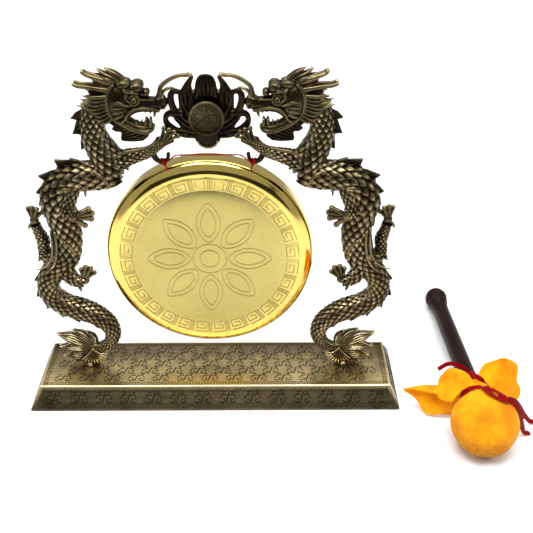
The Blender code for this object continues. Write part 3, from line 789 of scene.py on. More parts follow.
class Bench:
    """Where finished pieces are dressed and registered."""

    def __init__(self) -> None:
        """Build every finish once."""
        Groups.build()
        self.finishes = {finish.slot: finish.material() for finish in FINISHES}
        self.shown: set[str] = set()

    def lay(self, name: str, mesh: bpy.types.Mesh, slot: str, body: Body,
            nodes: Sequence[str] = (), sharp: float = 40.0) -> bpy.types.Object:
        """Make a mesh a finished piece that rides on its body.

        Args:
            name: the piece's name.
            mesh: its mesh, with its place in it.
            slot: the finish's slot.
            body: the body that it rides on.
            nodes: the CAD nodes that it stands for.
            sharp: the crease angle in degrees that stays sharp.

        Returns:
            The piece.
        """
        mesh.name = name
        mesh.materials.clear()
        mesh.materials.append(self.finishes[slot])
        mesh.shade_smooth()
        mesh.set_sharp_from_angle(angle=math.radians(sharp))
        if RELIEF not in mesh.attributes:
            set_relief(mesh, [0.5] * len(mesh.vertices))
        piece = bpy.data.objects.new(name, mesh)
        bpy.context.scene.collection.objects.link(piece)
        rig.ride(piece, body.value)
        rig.slot(piece, slot)
        if nodes:
            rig.replaces(piece, *nodes)
            self.shown.update(nodes)
        log.info("%s: %d faces", name, len(mesh.polygons))
        return piece

    def lay_bmesh(self, name: str, bm: bmesh.types.BMesh, slot: str, body: Body,
                  nodes: Sequence[str] = (), sharp: float = 40.0) -> bpy.types.Object:
        """Make a bmesh a finished piece, as lay does."""
        mesh = bpy.data.meshes.new(name)
        bm.to_mesh(mesh)
        bm.free()
        return self.lay(name, mesh, slot, body, nodes, sharp)

    def dress_kept_nodes(self) -> None:
        """Give every CAD node that still shows its finish."""
        slots = {part["node"]: part["material_slot"] for part in frame["record"]["subparts"]}
        for name, node in frame["nodes"].items():
            if name in self.shown:
                continue
            node.data.materials.clear()
            node.data.materials.append(self.finishes[slots[name]])
            log.info("%s: kept", name)


# --- The stand ----------------------------------------------------------------

BASE_LOW, BASE_HIGH = (280.0, 77.3), (265.6, 54.9)  # width and depth, at the table and on top
BASE_FOOT, BASE_TOP = 1.2, 15.9
PEARL_Z, PEARL_FRONT = 221.5, -7.4

NECK = [(74.5, 0, 226.2, 7.0), (76, 0, 219, 7.5), (76.2, 0, 211, 8.0), (74.4, 0, 203, 8.9),
        (70.8, 0, 195, 9.9), (67, 0, 187.5, 10.8), (65, 0, 182, 9.5)]
TRUNK = [(61.5, 0, 182.5, 7.5), (66, 0, 181.5, 10.3), (73, 0, 179.5, 10.2), (81, 0, 178, 9.7),
         (92, 0, 176.5, 10), (102, 0, 170.5, 10.8), (107, 0, 160, 11), (105, 0, 148, 10.2),
         (103, 0, 136, 9.6), (103, 0, 125, 9), (105, 0, 114.5, 8.6), (111.5, 0, 106.5, 8.5),
         (118.5, 0, 99, 8), (122, 0, 90, 7.6), (120.5, 0, 80.5, 7.8), (111.5, 0, 72, 7.9),
         (101, 0, 68, 7.9), (90.5, 0, 63, 7.3), (81.5, 0, 55, 6.4), (78.5, 0, 46, 5.5),
         (81, 0, 38, 4.6), (87, 0, 33.2, 4), (95, 0, 31.5, 3.4)]
FORELEG = [(62, -3, 190, 6), (56, -4, 192.5, 5.4), (48, -3.5, 194.5, 4.4), (40, -3, 196.5, 3.6),
           (34.8, -4, 200.5, 3.1), (31.2, -5.5, 206, 2.8)]


def repeated(tile: bpy.types.Mesh, places: Sequence[Matrix], relief: Sequence[float],
             base: bpy.types.Mesh | None = None) -> bpy.types.Mesh:
    """Lay copies of a small mesh.

    Args:
        tile: the shape, about its own origin.
        places: where each copy goes.
        relief: the relief of the tile's vertices.
        base: a mesh that the copies lie on, which stays in the recesses.

    Returns:
        One mesh with every copy, and with the base if there is one.
    """
    bm = bmesh.new()
    under = 0
    if base:
        bm.from_mesh(base)
        under = len(base.vertices)
    for place in places:
        tile.transform(place)
        bm.from_mesh(tile)
        tile.transform(place.inverted())
    made = bpy.data.meshes.new("copies")
    bm.to_mesh(made)
    bm.free()
    set_relief(made, np.concatenate([np.full(under, 0.05), np.tile(relief, len(places))]))
    return made


def scale_coat(stations: Sequence[Station], side: Side, around: int = 12) -> bpy.types.Mesh:
    """Cover a limb with overlapping scales whose free ends point along it.

    Args:
        stations: the limb's places and radii, from its root or the head end.
        side: the side of the stand.
        around: scales in each row.

    Returns:
        The limb's skin with its scales.
    """
    bm = bmesh.new()
    bmesh.ops.create_uvsphere(bm, u_segments=8, v_segments=6, radius=1)
    for vert in bm.verts:  # a diamond with a flat crown, pointed at its free end
        reach = vert.co.xy.length
        if reach > 0.01:
            lean = (abs(vert.co.x / reach) ** 1.3 + abs(vert.co.y / reach) ** 1.3) ** (1 / 1.3)
            vert.co.xy /= lean
            vert.co.y *= 1.22
        vert.co.z = math.copysign(abs(vert.co.z) ** 0.65, vert.co.z) * (0.80 + 0.22 * vert.co.y)
    tile = bpy.data.meshes.new("tile")
    bm.to_mesh(tile)
    bm.free()
    # Each scale's crown and free end are lighter: rubbed high points, with a painted highlight on every crown.
    relief = [min(1.0, max(0.0, 0.10 + 0.78 * vert.co.z + 0.16 * vert.co.y)) for vert in tile.vertices]

    fine = smooth(stations, 0.4)
    rows, travelled = [], 0.0
    for before, here, after in zip(fine, fine[1:], fine[2:]):
        travelled += math.dist(before[:3], here[:3])
        if travelled >= 0.42 * here[3] * 12 / around:
            travelled = 0.0
            rows.append((before, here, after))
    places = []
    for row, (before, here, after) in enumerate(rows):
        centre = mm(side.value * here[0], here[1], here[2])
        along = (mm(side.value * after[0], *after[1:3]) - mm(side.value * before[0], *before[1:3])).normalized()
        first = along.cross(Vector((0, 1, 0))).normalized()
        second = along.cross(first)
        radius = here[3] * MM
        half = math.pi * radius / around
        for k in range(around):
            angle = math.tau * (k + 0.5 * (row % 2)) / around
            outward = first * math.cos(angle) + second * math.sin(angle)
            tipped = (along + 0.20 * outward).normalized()
            across = tipped.cross(outward).normalized()
            raised = across.cross(tipped)
            turn = Matrix((across, tipped, raised)).transposed().to_4x4()
            size = Matrix.Diagonal((half * 1.16, half * 1.42, half * 0.50, 1))
            places.append(Matrix.Translation(centre + outward * radius * 0.965) @ turn @ size)
    limb = swept([(x, y, z, radius - 0.5) for x, y, z, radius in stations], side, 2.5, 6)
    return repeated(tile, places, relief, limb)


def crest(clay: Clay, stations: Sequence[Station], teeth: Sequence[tuple[float, float]],
          first: int, last: int) -> None:
    """Press a fin of ribbed saw-teeth onto the outer side of a run of stations.

    Args:
        clay: the casting that it goes on.
        stations: the limb's places and radii.
        teeth: the out and height of each tip, in order along the limb.
        first: the first station that it follows.
        last: the last one.
    """
    ridge = []
    run = smooth(stations[first:last + 1], 1.5)
    for before, here, after in zip(run, run[1:], run[2:]):
        across = Vector((-(after[2] - before[2]), after[0] - before[0])).normalized()
        ridge.append(Vector((here[0], here[2])) + across * (here[3] - 1.2))
    clay.rope([(x, 0.0, z, 1.9) for x, z in ridge[::2]])
    for tip in map(Vector, teeth):
        nearest = min(range(len(ridge)), key=lambda i: (ridge[i] - tip).length)
        start, end = ridge[max(0, nearest - 9)], ridge[min(nearest + 1, len(ridge) - 1)]
        away = (tip - ridge[nearest]).normalized()
        shoulder = start.lerp(tip, 0.5) + away * 0.20 * (tip - end).length
        hollow = end.lerp(tip, 0.45) + (start - end).normalized() * 0.8
        ribs = [(start.lerp(end, share), start.lerp(end, share).lerp(tip, 0.55) + away * (0.9 - share), tip)
                for share in (0.2, 0.5, 0.8)]
        clay.leaf([start - away * 1.5, start, shoulder, tip, hollow, end, end - away * 1.5], ribs, 2.2, 0.75)


@dataclass
class Dragon:
    """One of the two cast dragons."""

    side: Side
    bench: Bench

    def lay(self, name: str, mesh: bpy.types.Mesh, *nodes: str) -> None:
        """Finish a bronze piece that stands for this side's nodes."""
        prefix = self.side.prefix
        self.bench.lay(f"{prefix}_{name}", mesh, "antique_bronze", Body.STAND,
                       [f"{prefix}_{node}" for node in nodes], 60)

    def build(self) -> None:
        """Make every part of the dragon."""
        self.build_body()
        self.build_crests()
        self.build_head()
        self.build_jaw()
        self.build_mane()
        self.build_horns_and_whiskers()
        self.build_raised_foreleg()
        self.build_lower_foreleg()
        self.build_hind_legs()
        self.build_tail()

    def build_body(self) -> None:
        """The scaled neck and trunk."""
        self.lay("scaled_trunk", scale_coat(TRUNK, self.side), "dragon_body")
        self.lay("scaled_neck", scale_coat([(*NECK[0][:2], 228.0, 7.2), *NECK], self.side))
        clay = Clay(self.side)
        for start, middle, end in (((101, -9.5, 172.5), (97.5, -10.6, 172.6), (93, -10, 170.6)),
                                   ((79, -9, 178), (83.5, -10.2, 173), (84.5, -9, 166)),
                                   ((76, -9.4, 184), (71, -11, 181), (67, -10, 174))):
            clay.rope([(*start, 0.8), (*middle, 1.3), (*end, 0.7)])
        for flow in (((112, -8, 140), (112.5, -8.8, 127), (115, -7.6, 116), (122, -6.6, 108), (129, -4, 104.5)),
                     ((109.5, -8.6, 138), (109.5, -9.2, 127), (112, -8.2, 114), (118, -8, 106), (124, -6, 101))):
            clay.rope([(*place, 1.3 - 0.2 * i) for i, place in enumerate(flow)])
        clay.rope([(103.5, -9.6, 131, 0.9), (99.5, -9.0, 126, 1.3), (97, -7.4, 119, 0.7)])
        clay.rope([(108.5, -0.5, 142, 4.0), (110, -0.5, 128, 5.0), (112, -0.5, 115, 5.0)])
        self.lay("flowing_ridges", clay.cast())

    def build_crests(self) -> None:
        """The saw-toothed fins down the neck, back and tail."""
        for name, stations, first, last, teeth in (
                ("neck_crest", NECK, 0, 6, [(90.0, 219.6), (90.0, 208.6), (85.4, 197.4)]),
                ("back_crest", TRUNK, 3, 9, [(94.5, 190.5), (105, 189.5), (117.5, 177.5), (120.8, 165),
                                             (119, 151), (115, 138)]),
                ("tail_crest", TRUNK, 11, 20, [(132, 93.5), (132, 79.5), (125.5, 68), (114.5, 60.5),
                                               (102.5, 56), (89, 50.5)])):
            clay = Clay(self.side)
            crest(clay, stations, teeth, first, last)
            self.lay(name, clay.cast(0.42, 1, dim=0.12), name)

    def build_head(self) -> None:
        """The skull, brows, snout, nostrils, eyes and upper teeth."""
        clay = Clay(self.side)
        clay.ball((57.5, 0, 235.0), (8.6, 7.4, 9.4))
        clay.ball((57.2, 3.6, 231.2), (8.0, 5.4, 11.8), twins=True)
        clay.ball((50, 0, 238.0), (9, 6.6, 5.8), 12)
        clay.rope([(54, 0, 233, 7.0), (47, 0, 231.4, 5.6), (41, 0, 230.4, 4.4), (35, 0, 229.8, 4.0),
                   (30.5, 0, 229.8, 4.0)])
        clay.rope([(50, 0, 229.5, 5.9), (42, 0, 229.4, 5.7), (36, 0, 229.4, 5.1), (30, 0, 229.4, 4.6)])
        clay.ball((53.4, 3.2, 243.2), (5.0, 3.4, 3.2), 6, twins=True)
        clay.ball((45.0, 3.0, 241.0), (4.8, 4.2, 4.2), 24, twins=True)
        clay.ball((39.0, 1.6, 237.2), (2.6, 2.4, 2.6), twins=True)
        clay.rope([(59.1, 5.6, 243.6, 1.2), (62.4, 6.2, 240.2, 1.3), (63.8, 6.6, 235.6, 1.3), (63.9, 6.6, 230.2, 1.3),
                   (62.8, 6.4, 225.2, 1.3), (59.6, 6.2, 220.2, 1.3), (55.5, 5.6, 216.8, 1.2)], twins=True)
        clay.rope([(53.4, 5.4, 241.0, 1.1), (51.0, 6.8, 238.4, 1.4), (51.4, 7.3, 235.2, 1.2),
                   (49.2, 7.4, 232.8, 0.8)], twins=True)
        clay.rope([(50.4, 6.4, 238.6, 0.8), (46.8, 6.8, 239.4, 1.2), (43.4, 6.2, 238.0, 0.9)], twins=True)
        clay.ball((46.3, 5.6, 234.0), (3.6, 2.6, 3.5), twins=True)
        clay.ring((46.3, 7.0, 234.0), 3.3, 0.75, twins=True)
        clay.ring((46.3, 8.3, 234.0), 1.3, 0.45, twins=True)
        clay.ball((56, 6.4, 227.6), (5.0, 2.2, 5.2), twins=True)
        clay.rope([(49.6, 7.4, 229.9, 0.8), (53.3, 8.4, 231.6, 1.1), (57.0, 8.6, 232.8, 1.1), (60.8, 8.0, 232.7, 0.6)],
                  twins=True)
        for root, tip in (((54.8, 229.3), (61.0, 228.6)), ((54.4, 226.6), (61.2, 225.0)), ((54.2, 224.2), (60.2, 221.5))):
            clay.rope([(root[0], 8.2, root[1], 1.0), ((root[0] + tip[0]) / 2, 8.6, (root[1] + tip[1]) / 2, 1.05),
                       (tip[0], 7.6, tip[1], 0.5)], twins=True)
        clay.rope([(56.4, 6.6, 218.4, 1.0), (53.2, 7.0, 220.8, 1.2), (51.2, 7.0, 224.6, 1.3), (46.8, 6.4, 227.3, 1.3),
                   (41.8, 5.8, 227.8, 1.2), (36.4, 5.0, 227.0, 1.2), (31.0, 4.2, 225.6, 1.2)], twins=True)
        clay.rope([(51.6, 5.4, 220.6, 0.7), (49.0, 5.8, 224.0, 0.9), (45.0, 5.4, 225.9, 0.9), (40.2, 4.8, 226.2, 0.8),
                   (35.6, 4.2, 225.6, 0.8)], twins=True)
        for x, z, radius in ((36.2, 232.6, 1.7), (32.0, 233.2, 1.9), (41.0, 232.6, 1.5)):
            clay.ball((x, 1.8, z), (radius, radius, radius * 0.8), twins=True)
        clay.ball((28.4, 0, 230.6), (3.4, 3.9, 4.3))
        clay.ball((28.6, 1.8, 233.8), (1.9, 1.6, 1.4), twins=True)
        clay.ring((28.3, 3.7, 228.8), 1.8, 0.6, twins=True)
        for x, z, size in ((43.4, 226.0, 0.8), (39.8, 225.4, 0.8), (36.8, 225.0, 0.8)):
            clay.rope([(x, 4.2, z + 0.8, size), (x - 0.3, 4.0, z - 1.6 * size, 0.35)], twins=True, step=1.0)
        clay.rope([(33.6, 3.8, 226.0, 1.2), (33.9, 3.8, 223.4, 1.0), (34.6, 3.6, 221.4, 0.5)], twins=True)
        for depth in (-3.0, 0.0, 3.0):
            clay.rope([(60, depth, 243.4, 1.6), (66, depth, 244.8, 1.5), (72.4, depth * 0.5, 246.2, 1.1)])
            clay.rope([(60, depth, 240.6, 1.6), (66, depth, 242.6, 1.5), (72.6, depth * 0.5, 243.6, 1.1)])
            clay.rope([(62, depth * 1.3, 238.2, 1.6), (69, depth, 239.4, 1.5), (75.6, depth * 0.5, 240.0, 1.1)])
            clay.rope([(62, depth * 1.3, 235.8, 1.6), (69, depth, 237.2, 1.5), (75.8, depth * 0.5, 237.8, 1.1)])
        self.lay("head", clay.cast(0.42, depth=0.75, dim=-0.03), "dragon_head")

    def build_jaw(self) -> None:
        """The lower jaw with its lip, teeth and tongue, and the leaves of the beard."""
        clay = Clay(self.side)
        clay.rope([(61, 0, 220.8, 3.8), (54.5, 0, 217.4, 3.6), (48.5, 0, 214.0, 3.3), (43, 0, 212.4, 3.0),
                   (38.6, 0, 212.4, 2.8)])
        clay.rope([(61, 5.2, 221.6, 1.2), (56.4, 6.0, 218.0, 1.6), (50.8, 5.6, 214.6, 1.8), (45.5, 4.8, 212.0, 1.8),
                   (40.2, 3.8, 211.0, 1.8), (36.6, 2.4, 212.4, 1.7), (35.6, 1.2, 214.4, 1.2)], twins=True)
        clay.rope([(55, 4.6, 220.6, 0.8), (51, 4.8, 217.4, 1.0), (46.4, 4.4, 214.9, 1.0), (41.2, 3.6, 214.2, 1.0),
                   (37.0, 2.4, 215.2, 0.9)], twins=True)
        for x, low, high in ((46.8, 215.4, 217.4), (43.8, 214.6, 217.4)):
            clay.rope([(x, 3.8, low, 0.8), (x - 0.3, 3.7, high, 0.4)], twins=True, step=1.0)
        for x, high in ((40.4, 219.2), (37.6, 219.2)):
            clay.rope([(x, 2.6, 213.6, 1.3), (x, 2.8, 216.6, 1.2), (x - 0.2, 2.7, high, 0.9)], twins=True, step=1.0)
        clay.rope([(56, 0, 219.5, 2.2), (51, 0, 217.6, 2.0), (47, 0, 215.8, 1.6), (44, 0, 216.6, 1.0)])
        self.lay("lower_jaw", clay.cast(0.4, depth=0.6, dim=-0.05), "lower_jaw")

        clay = Clay(self.side)
        clay.leaf([(56, 215), (62, 219.8), (66.4, 218.4), (65.2, 216.6), (62.8, 214.6), (58, 213)],
                  [((57, 217), (61, 216), (64.8, 216.6)), ((59, 218.8), (62.4, 218.2), (65.8, 218.2))], 3.4, 0.9)
        clay.leaf([(50, 212.6), (56, 217), (61.4, 215.2), (63.6, 212.0), (61.0, 210.4), (55.4, 209.8)],
                  [((52, 213), (57.5, 211.2), (61.4, 211.0)), ((53.5, 214.6), (58.5, 213), (63, 212.4)),
                   ((55.5, 216), (59.5, 214.8), (61.8, 214.4))], 3.8, 0.9)
        clay.leaf([(39, 207.2), (41.5, 210.4), (52, 214), (57, 211), (58.0, 205.6), (57.2, 203.8), (49.4, 203.2),
                   (42.9, 204.0)],
                  [((40.8, 208.2), (48.5, 204.8), (56.6, 204.4)), ((42.4, 209.8), (50.5, 206.6), (57.6, 205.6)),
                   ((45.4, 211.2), (51.6, 208.5), (57.4, 207.2)), ((49.2, 212.4), (53.6, 210.2), (57.0, 209.0))],
                  4.2, 0.95)
        self.lay("beard", clay.cast(0.4, dim=0.08), "beard")

    @staticmethod
    def at(place: tuple[float, float], depth: float) -> Point:
        """A place out and up, at a depth."""
        return place[0], depth, place[1]

    def build_mane(self) -> None:
        """The swept strands behind the cheek and on the brow."""
        clay = Clay(self.side)
        strands = (((64.5, 236.2), (72, 236.0), (79.6, 236.8)), ((65, 234.2), (71.5, 233.4), (77.4, 234.0)),
                   ((65, 232.0), (72, 230.8), (81.4, 232.0)), ((65, 229.8), (74, 228.2), (84.0, 230.6)),
                   ((64.8, 227.6), (72, 225.8), (79.6, 228.2)), ((64.4, 225.4), (70.0, 223.4), (75.8, 225.2)),
                   ((63.6, 223.2), (69.0, 220.8), (75.0, 222.4)), ((62.4, 221.2), (66.2, 219.0), (70.6, 219.8)))
        for start, middle, tip in strands:
            for depth, short in ((6.2, 0.0), (3.4, 1.6)):
                clay.rope([(*self.at(start, depth), 1.5), (*self.at(middle, depth + 0.9), 1.55),
                           (tip[0] - short, depth - 0.6, tip[1] - 0.3 * short, 0.4)], twins=True)
        clay.ball((65.5, 0, 229.5), (5.0, 5.6, 9.0))
        self.lay("cheek_mane", clay.cast(0.42, dim=-0.02), "cheek_mane")

        clay = Clay(self.side)
        for start, middle, tip, depth, thick in (
                ((53.6, 246.2), (59.0, 250.2), (64.6, 253.4), 1.2, 1.9), ((56.2, 245.2), (61.0, 248.2), (66.2, 251.0), 2.8, 1.5),
                ((58.5, 244.8), (63.0, 247.0), (67.6, 248.4), 3.9, 1.4), ((61.0, 246.4), (65.4, 249.8), (69.8, 253.2), 0.9, 1.7),
                ((62.5, 245.4), (66.8, 247.6), (71.2, 249.6), 2.4, 1.3)):
            clay.rope([(*self.at(start, depth), thick), (*self.at(middle, depth + 0.3), thick * 0.9),
                       (*self.at(tip, depth * 0.7), 0.4)], twins=True)
        self.lay("brow_tuft", clay.cast(0.4, dim=-0.02), "brow_tuft")

    def build_horns_and_whiskers(self) -> None:
        """The two backswept horns, the long whisker and the curl on the nose."""
        for name, route, twins in (
                ("upper_horn", [(60, 2.6, 243.6, 2.4), (66.7, 2.8, 246.2, 2.0), (72.7, 2.4, 248.0, 1.6),
                                (77, 2.0, 249.6, 1.5), (79.2, 1.8, 251.4, 1.4)], True),
                ("lower_horn", [(61, 4.6, 239.4, 2.3), (70.3, 4.2, 240.9, 1.8), (76.5, 3.4, 241.6, 1.5),
                                (82.4, 3.0, 242.1, 1.4), (85.4, 2.8, 243.4, 1.4)], True),
                ("whisker", [(31.0, -2.2, 233.6, 2.0), (29.9, -1.6, 238.0, 1.8), (28.9, -1.2, 241.4, 1.7),
                             (25.6, -0.6, 244.2, 1.55), (21.0, 0, 246.7, 1.5), (16.5, 0, 248.2, 1.4),
                             (12.4, 0, 248.4, 1.5), (9.6, 0, 249.0, 1.7)], False),
                ("nose_curl", [(29.2, -1.2, 234.0, 1.4), (28.2, -1.0, 237.0, 1.2), (25.6, -0.7, 239.4, 1.2),
                               (22.6, -0.3, 240.0, 1.1), (20.4, 0, 239.2, 0.9)], False)):
            clay = Clay(self.side)
            clay.rope(route, twins)
            self.lay(name, clay.cast(0.4, depth=0.7, dim=-0.12), name)

    def build_raised_foreleg(self) -> None:
        """The arm that holds the flame, with its fingers, and the hook for the cord."""
        self.lay("scaled_arm", scale_coat([(70, -1.5, 186.5, 7.0), *FORELEG], self.side, 10), "raised_foreleg")
        clay = Clay(self.side)
        clay.ball((30.2, -5.4, 205.4), (3.2, 2.6, 3.6), 20)
        clay.rope([(64, -7.5, 192.5, 0.9), (56, -8.0, 198.0, 1.3), (48, -6.2, 199.0, 1.3), (40, -5.0, 200.6, 1.2),
                   (34, -6.2, 204.6, 1.2), (30.5, -6.8, 208.0, 1.0)])
        clay.rope([(37, -4.6, 195.4, 1.0), (32.6, -5.8, 199.6, 1.4), (28.4, -6.0, 203.0, 1.4), (22.6, -4.4, 205.0, 1.1)])
        for tip, depth in (((28.4, 213.8), -4.6), ((25.0, 213.0), -5.2), ((21.8, 211.4), -5.2), ((19.4, 208.6), -4.8)):
            clay.rope([(31.2, -6.0, 203.2, 1.4), ((31.2 + tip[0]) / 2, depth - 1.6, (203.2 + tip[1]) / 2 + 0.4, 1.25),
                       (*self.at(tip, depth), 1.1)])
            clay.ball(self.at(tip, depth), (2.0, 1.7, 2.0))
        self.lay("flame_claw", clay.cast(0.4, dim=-0.02))
        clay = Clay(self.side)
        clay.rope([(37.0, -3.2, 195.0, 2.4), (35.4, -3.0, 191.6, 2.1), (33.0, -2.2, 189.2, 1.8), (30.4, -1.2, 188.3, 1.6),
                   (28.3, -1, 189.4, 1.5), (27.3, -1, 192.0, 1.4), (27.0, -1, 194.6, 1.5)], step=1.0)
        self.lay("hook", clay.cast(0.38, dim=0.15), "hook")

    def claw(self, clay: Clay, palm: Point, toes: Sequence[Point], thick: float = 1.7) -> None:
        """Press a fan of toes with bulging knuckles and curled ends onto a palm."""
        clay.ball(palm, (thick * 2.0, thick * 1.6, thick * 2.0))
        for toe in toes:
            lift = tuple(a + (b - a) * 0.55 - shift for a, b, shift in zip(palm, toe, (0, 1.2, -0.8)))
            clay.rope([(*palm, thick), (*lift, thick * 0.95), (*toe, thick * 0.95)], step=1.0)
            clay.ball(toe, (thick * 1.15,) * 3)

    def build_lower_foreleg(self) -> None:
        """The front leg that reaches inwards from the chest."""
        self.lay("scaled_forearm", scale_coat(
            [(93, -5, 172, 5.0), (96, -8, 164, 4.5), (98, -10, 157.5, 4.0), (98.2, -9.8, 152.5, 3.7)], self.side, 9),
            "lower_foreleg")
        clay = Clay(self.side)
        self.claw(clay, (95.6, -8.2, 150.0), [(84.6, -5.0, 154.6), (82.6, -4.4, 151.0), (83.4, -5.0, 146.8),
                                              (88.0, -6.6, 142.6)], 2.0)
        clay.rope([(98, -9, 151.5, 1.9), (102, -11.0, 154.4, 1.6), (105.0, -11.0, 152.6, 0.9)])
        self.lay("lower_claw", clay.cast(0.4, dim=-0.10))

    def build_hind_legs(self) -> None:
        """The two hind legs, one inwards and low and one outwards and high."""
        self.lay("scaled_shin", scale_coat(
            [(108, -3, 108, 5.8), (105, -4, 100.5, 5.2), (100.5, -4, 95.5, 4.2), (96, -3.5, 94, 3.6)],
            self.side, 9), "inner_hind_leg")
        clay = Clay(self.side)
        self.claw(clay, (94.0, -3.2, 95.6), [(86.6, -3.0, 101.6), (88.4, -4.2, 106.0), (92.2, -4.2, 107.0),
                                             (95.6, -3.4, 104.4)], 1.8)
        clay.rope([(98.6, -3, 95, 1.9), (98.8, -3.2, 90, 1.6), (97.6, -3, 85.8, 0.9)])
        self.lay("inner_claw", clay.cast(0.4, dim=-0.05))
        self.lay("scaled_shank", scale_coat(
            [(113, 2, 107, 6.0), (120, 4, 110.5, 5.0), (122.4, 4, 117.5, 4.0), (121.8, 3, 125.5, 4.2),
             (123.8, 2, 133.5, 3.4), (125.2, 1, 140, 3.3)], self.side, 9), "outer_hind_leg")
        clay = Clay(self.side)
        self.claw(clay, (125.2, 0.6, 143.0), [(128.2, 0.4, 152.4), (125.0, -1.4, 153.8), (121.6, -1.8, 152.8),
                                              (119.0, 0.2, 149.4)], 1.7)
        clay.rope([(125, 2, 140.5, 1.9), (128.6, 2, 138.6, 1.5), (130.8, 2, 135.4, 0.8)])
        for k in range(3):
            clay.rope([(121, 3.5, 109 + 3 * k, 1.6), (125.2, 3.5, 109.5 + 3 * k, 1.3), (128.6 - k, 3, 107.5 + 3 * k, 0.5)])
        self.lay("outer_claw", clay.cast(0.4, dim=-0.05))

    def build_tail(self) -> None:
        """The fan of ribbed leaves that the dragon stands on."""
        clay = Clay(self.side)
        leaves = (((93, 36), (95.5, 41.5), (98.6, 47.6), 1.0), ((94.5, 35.5), (102, 42.6), (109.6, 49.6), 1.2),
                  ((96, 34.5), (108.5, 40.6), (122.4, 45.8), 1.45), ((96, 32), (109, 33.4), (120.8, 33.6), 1.35),
                  ((95.5, 29.5), (107.5, 26.8), (118.6, 24.8), 1.3), ((93, 28), (103.5, 21.0), (112.0, 18.8), 1.1))
        for root, middle, tip, spread in leaves:
            side = Vector((tip[1] - root[1], root[0] - tip[0])).normalized() * spread
            for rib in range(-2, 3):
                reach = 1.0 - 0.07 * abs(rib)
                end = [a + (b - a) * reach for a, b in zip(root, tip)]
                bend = side * rib
                clay.rope([(root[0] + 0.4 * bend.x, 3.0, root[1] + 0.4 * bend.y, 0.55),
                           (middle[0] + 1.5 * bend.x, 3.0 - 0.2 * abs(rib), middle[1] + 1.5 * bend.y, 0.6),
                           (end[0] + 0.4 * bend.x, 1.2, end[1] + 0.4 * bend.y, 0.5)], twins=True)
                clay.rope([(root[0], 0, root[1], 2.4), (middle[0] + 1.3 * bend.x, 0, middle[1] + 1.3 * bend.y, 2.0),
                           (end[0] - 1.0 * reach, 0, end[1] + 0.4 * bend.y, 0.8)])
        for k in range(10):
            angle = math.radians(180 + 16.0 * k)
            foot = (97 + 11.6 * math.cos(angle), 27.4 + 11.0 * math.sin(angle))
            clay.rope([(95.0, 3.6, 33.0, 0.5), (96 + 5.6 * math.cos(angle), 4.3, 29.4 + 5.2 * math.sin(angle), 0.6),
                       (96.6 + 9.4 * math.cos(angle), 2.9, 28.0 + 8.8 * math.sin(angle), 0.75),
                       (*self.at(foot, 0.6), 0.8)], twins=True)
        clay.ball((97, 0, 27.2), (10.0, 4.2, 9.6))
        clay.ball((98.5, -3.2, 18.6), (2.6, 2.4, 1.9))
        clay.ball((97, 0, 18.8), (5.5, 3.6, 2.9))
        self.lay("tail_fan", clay.cast(0.36, 1, depth=0.30, dim=-0.10), "tail_fin", "foot_post")


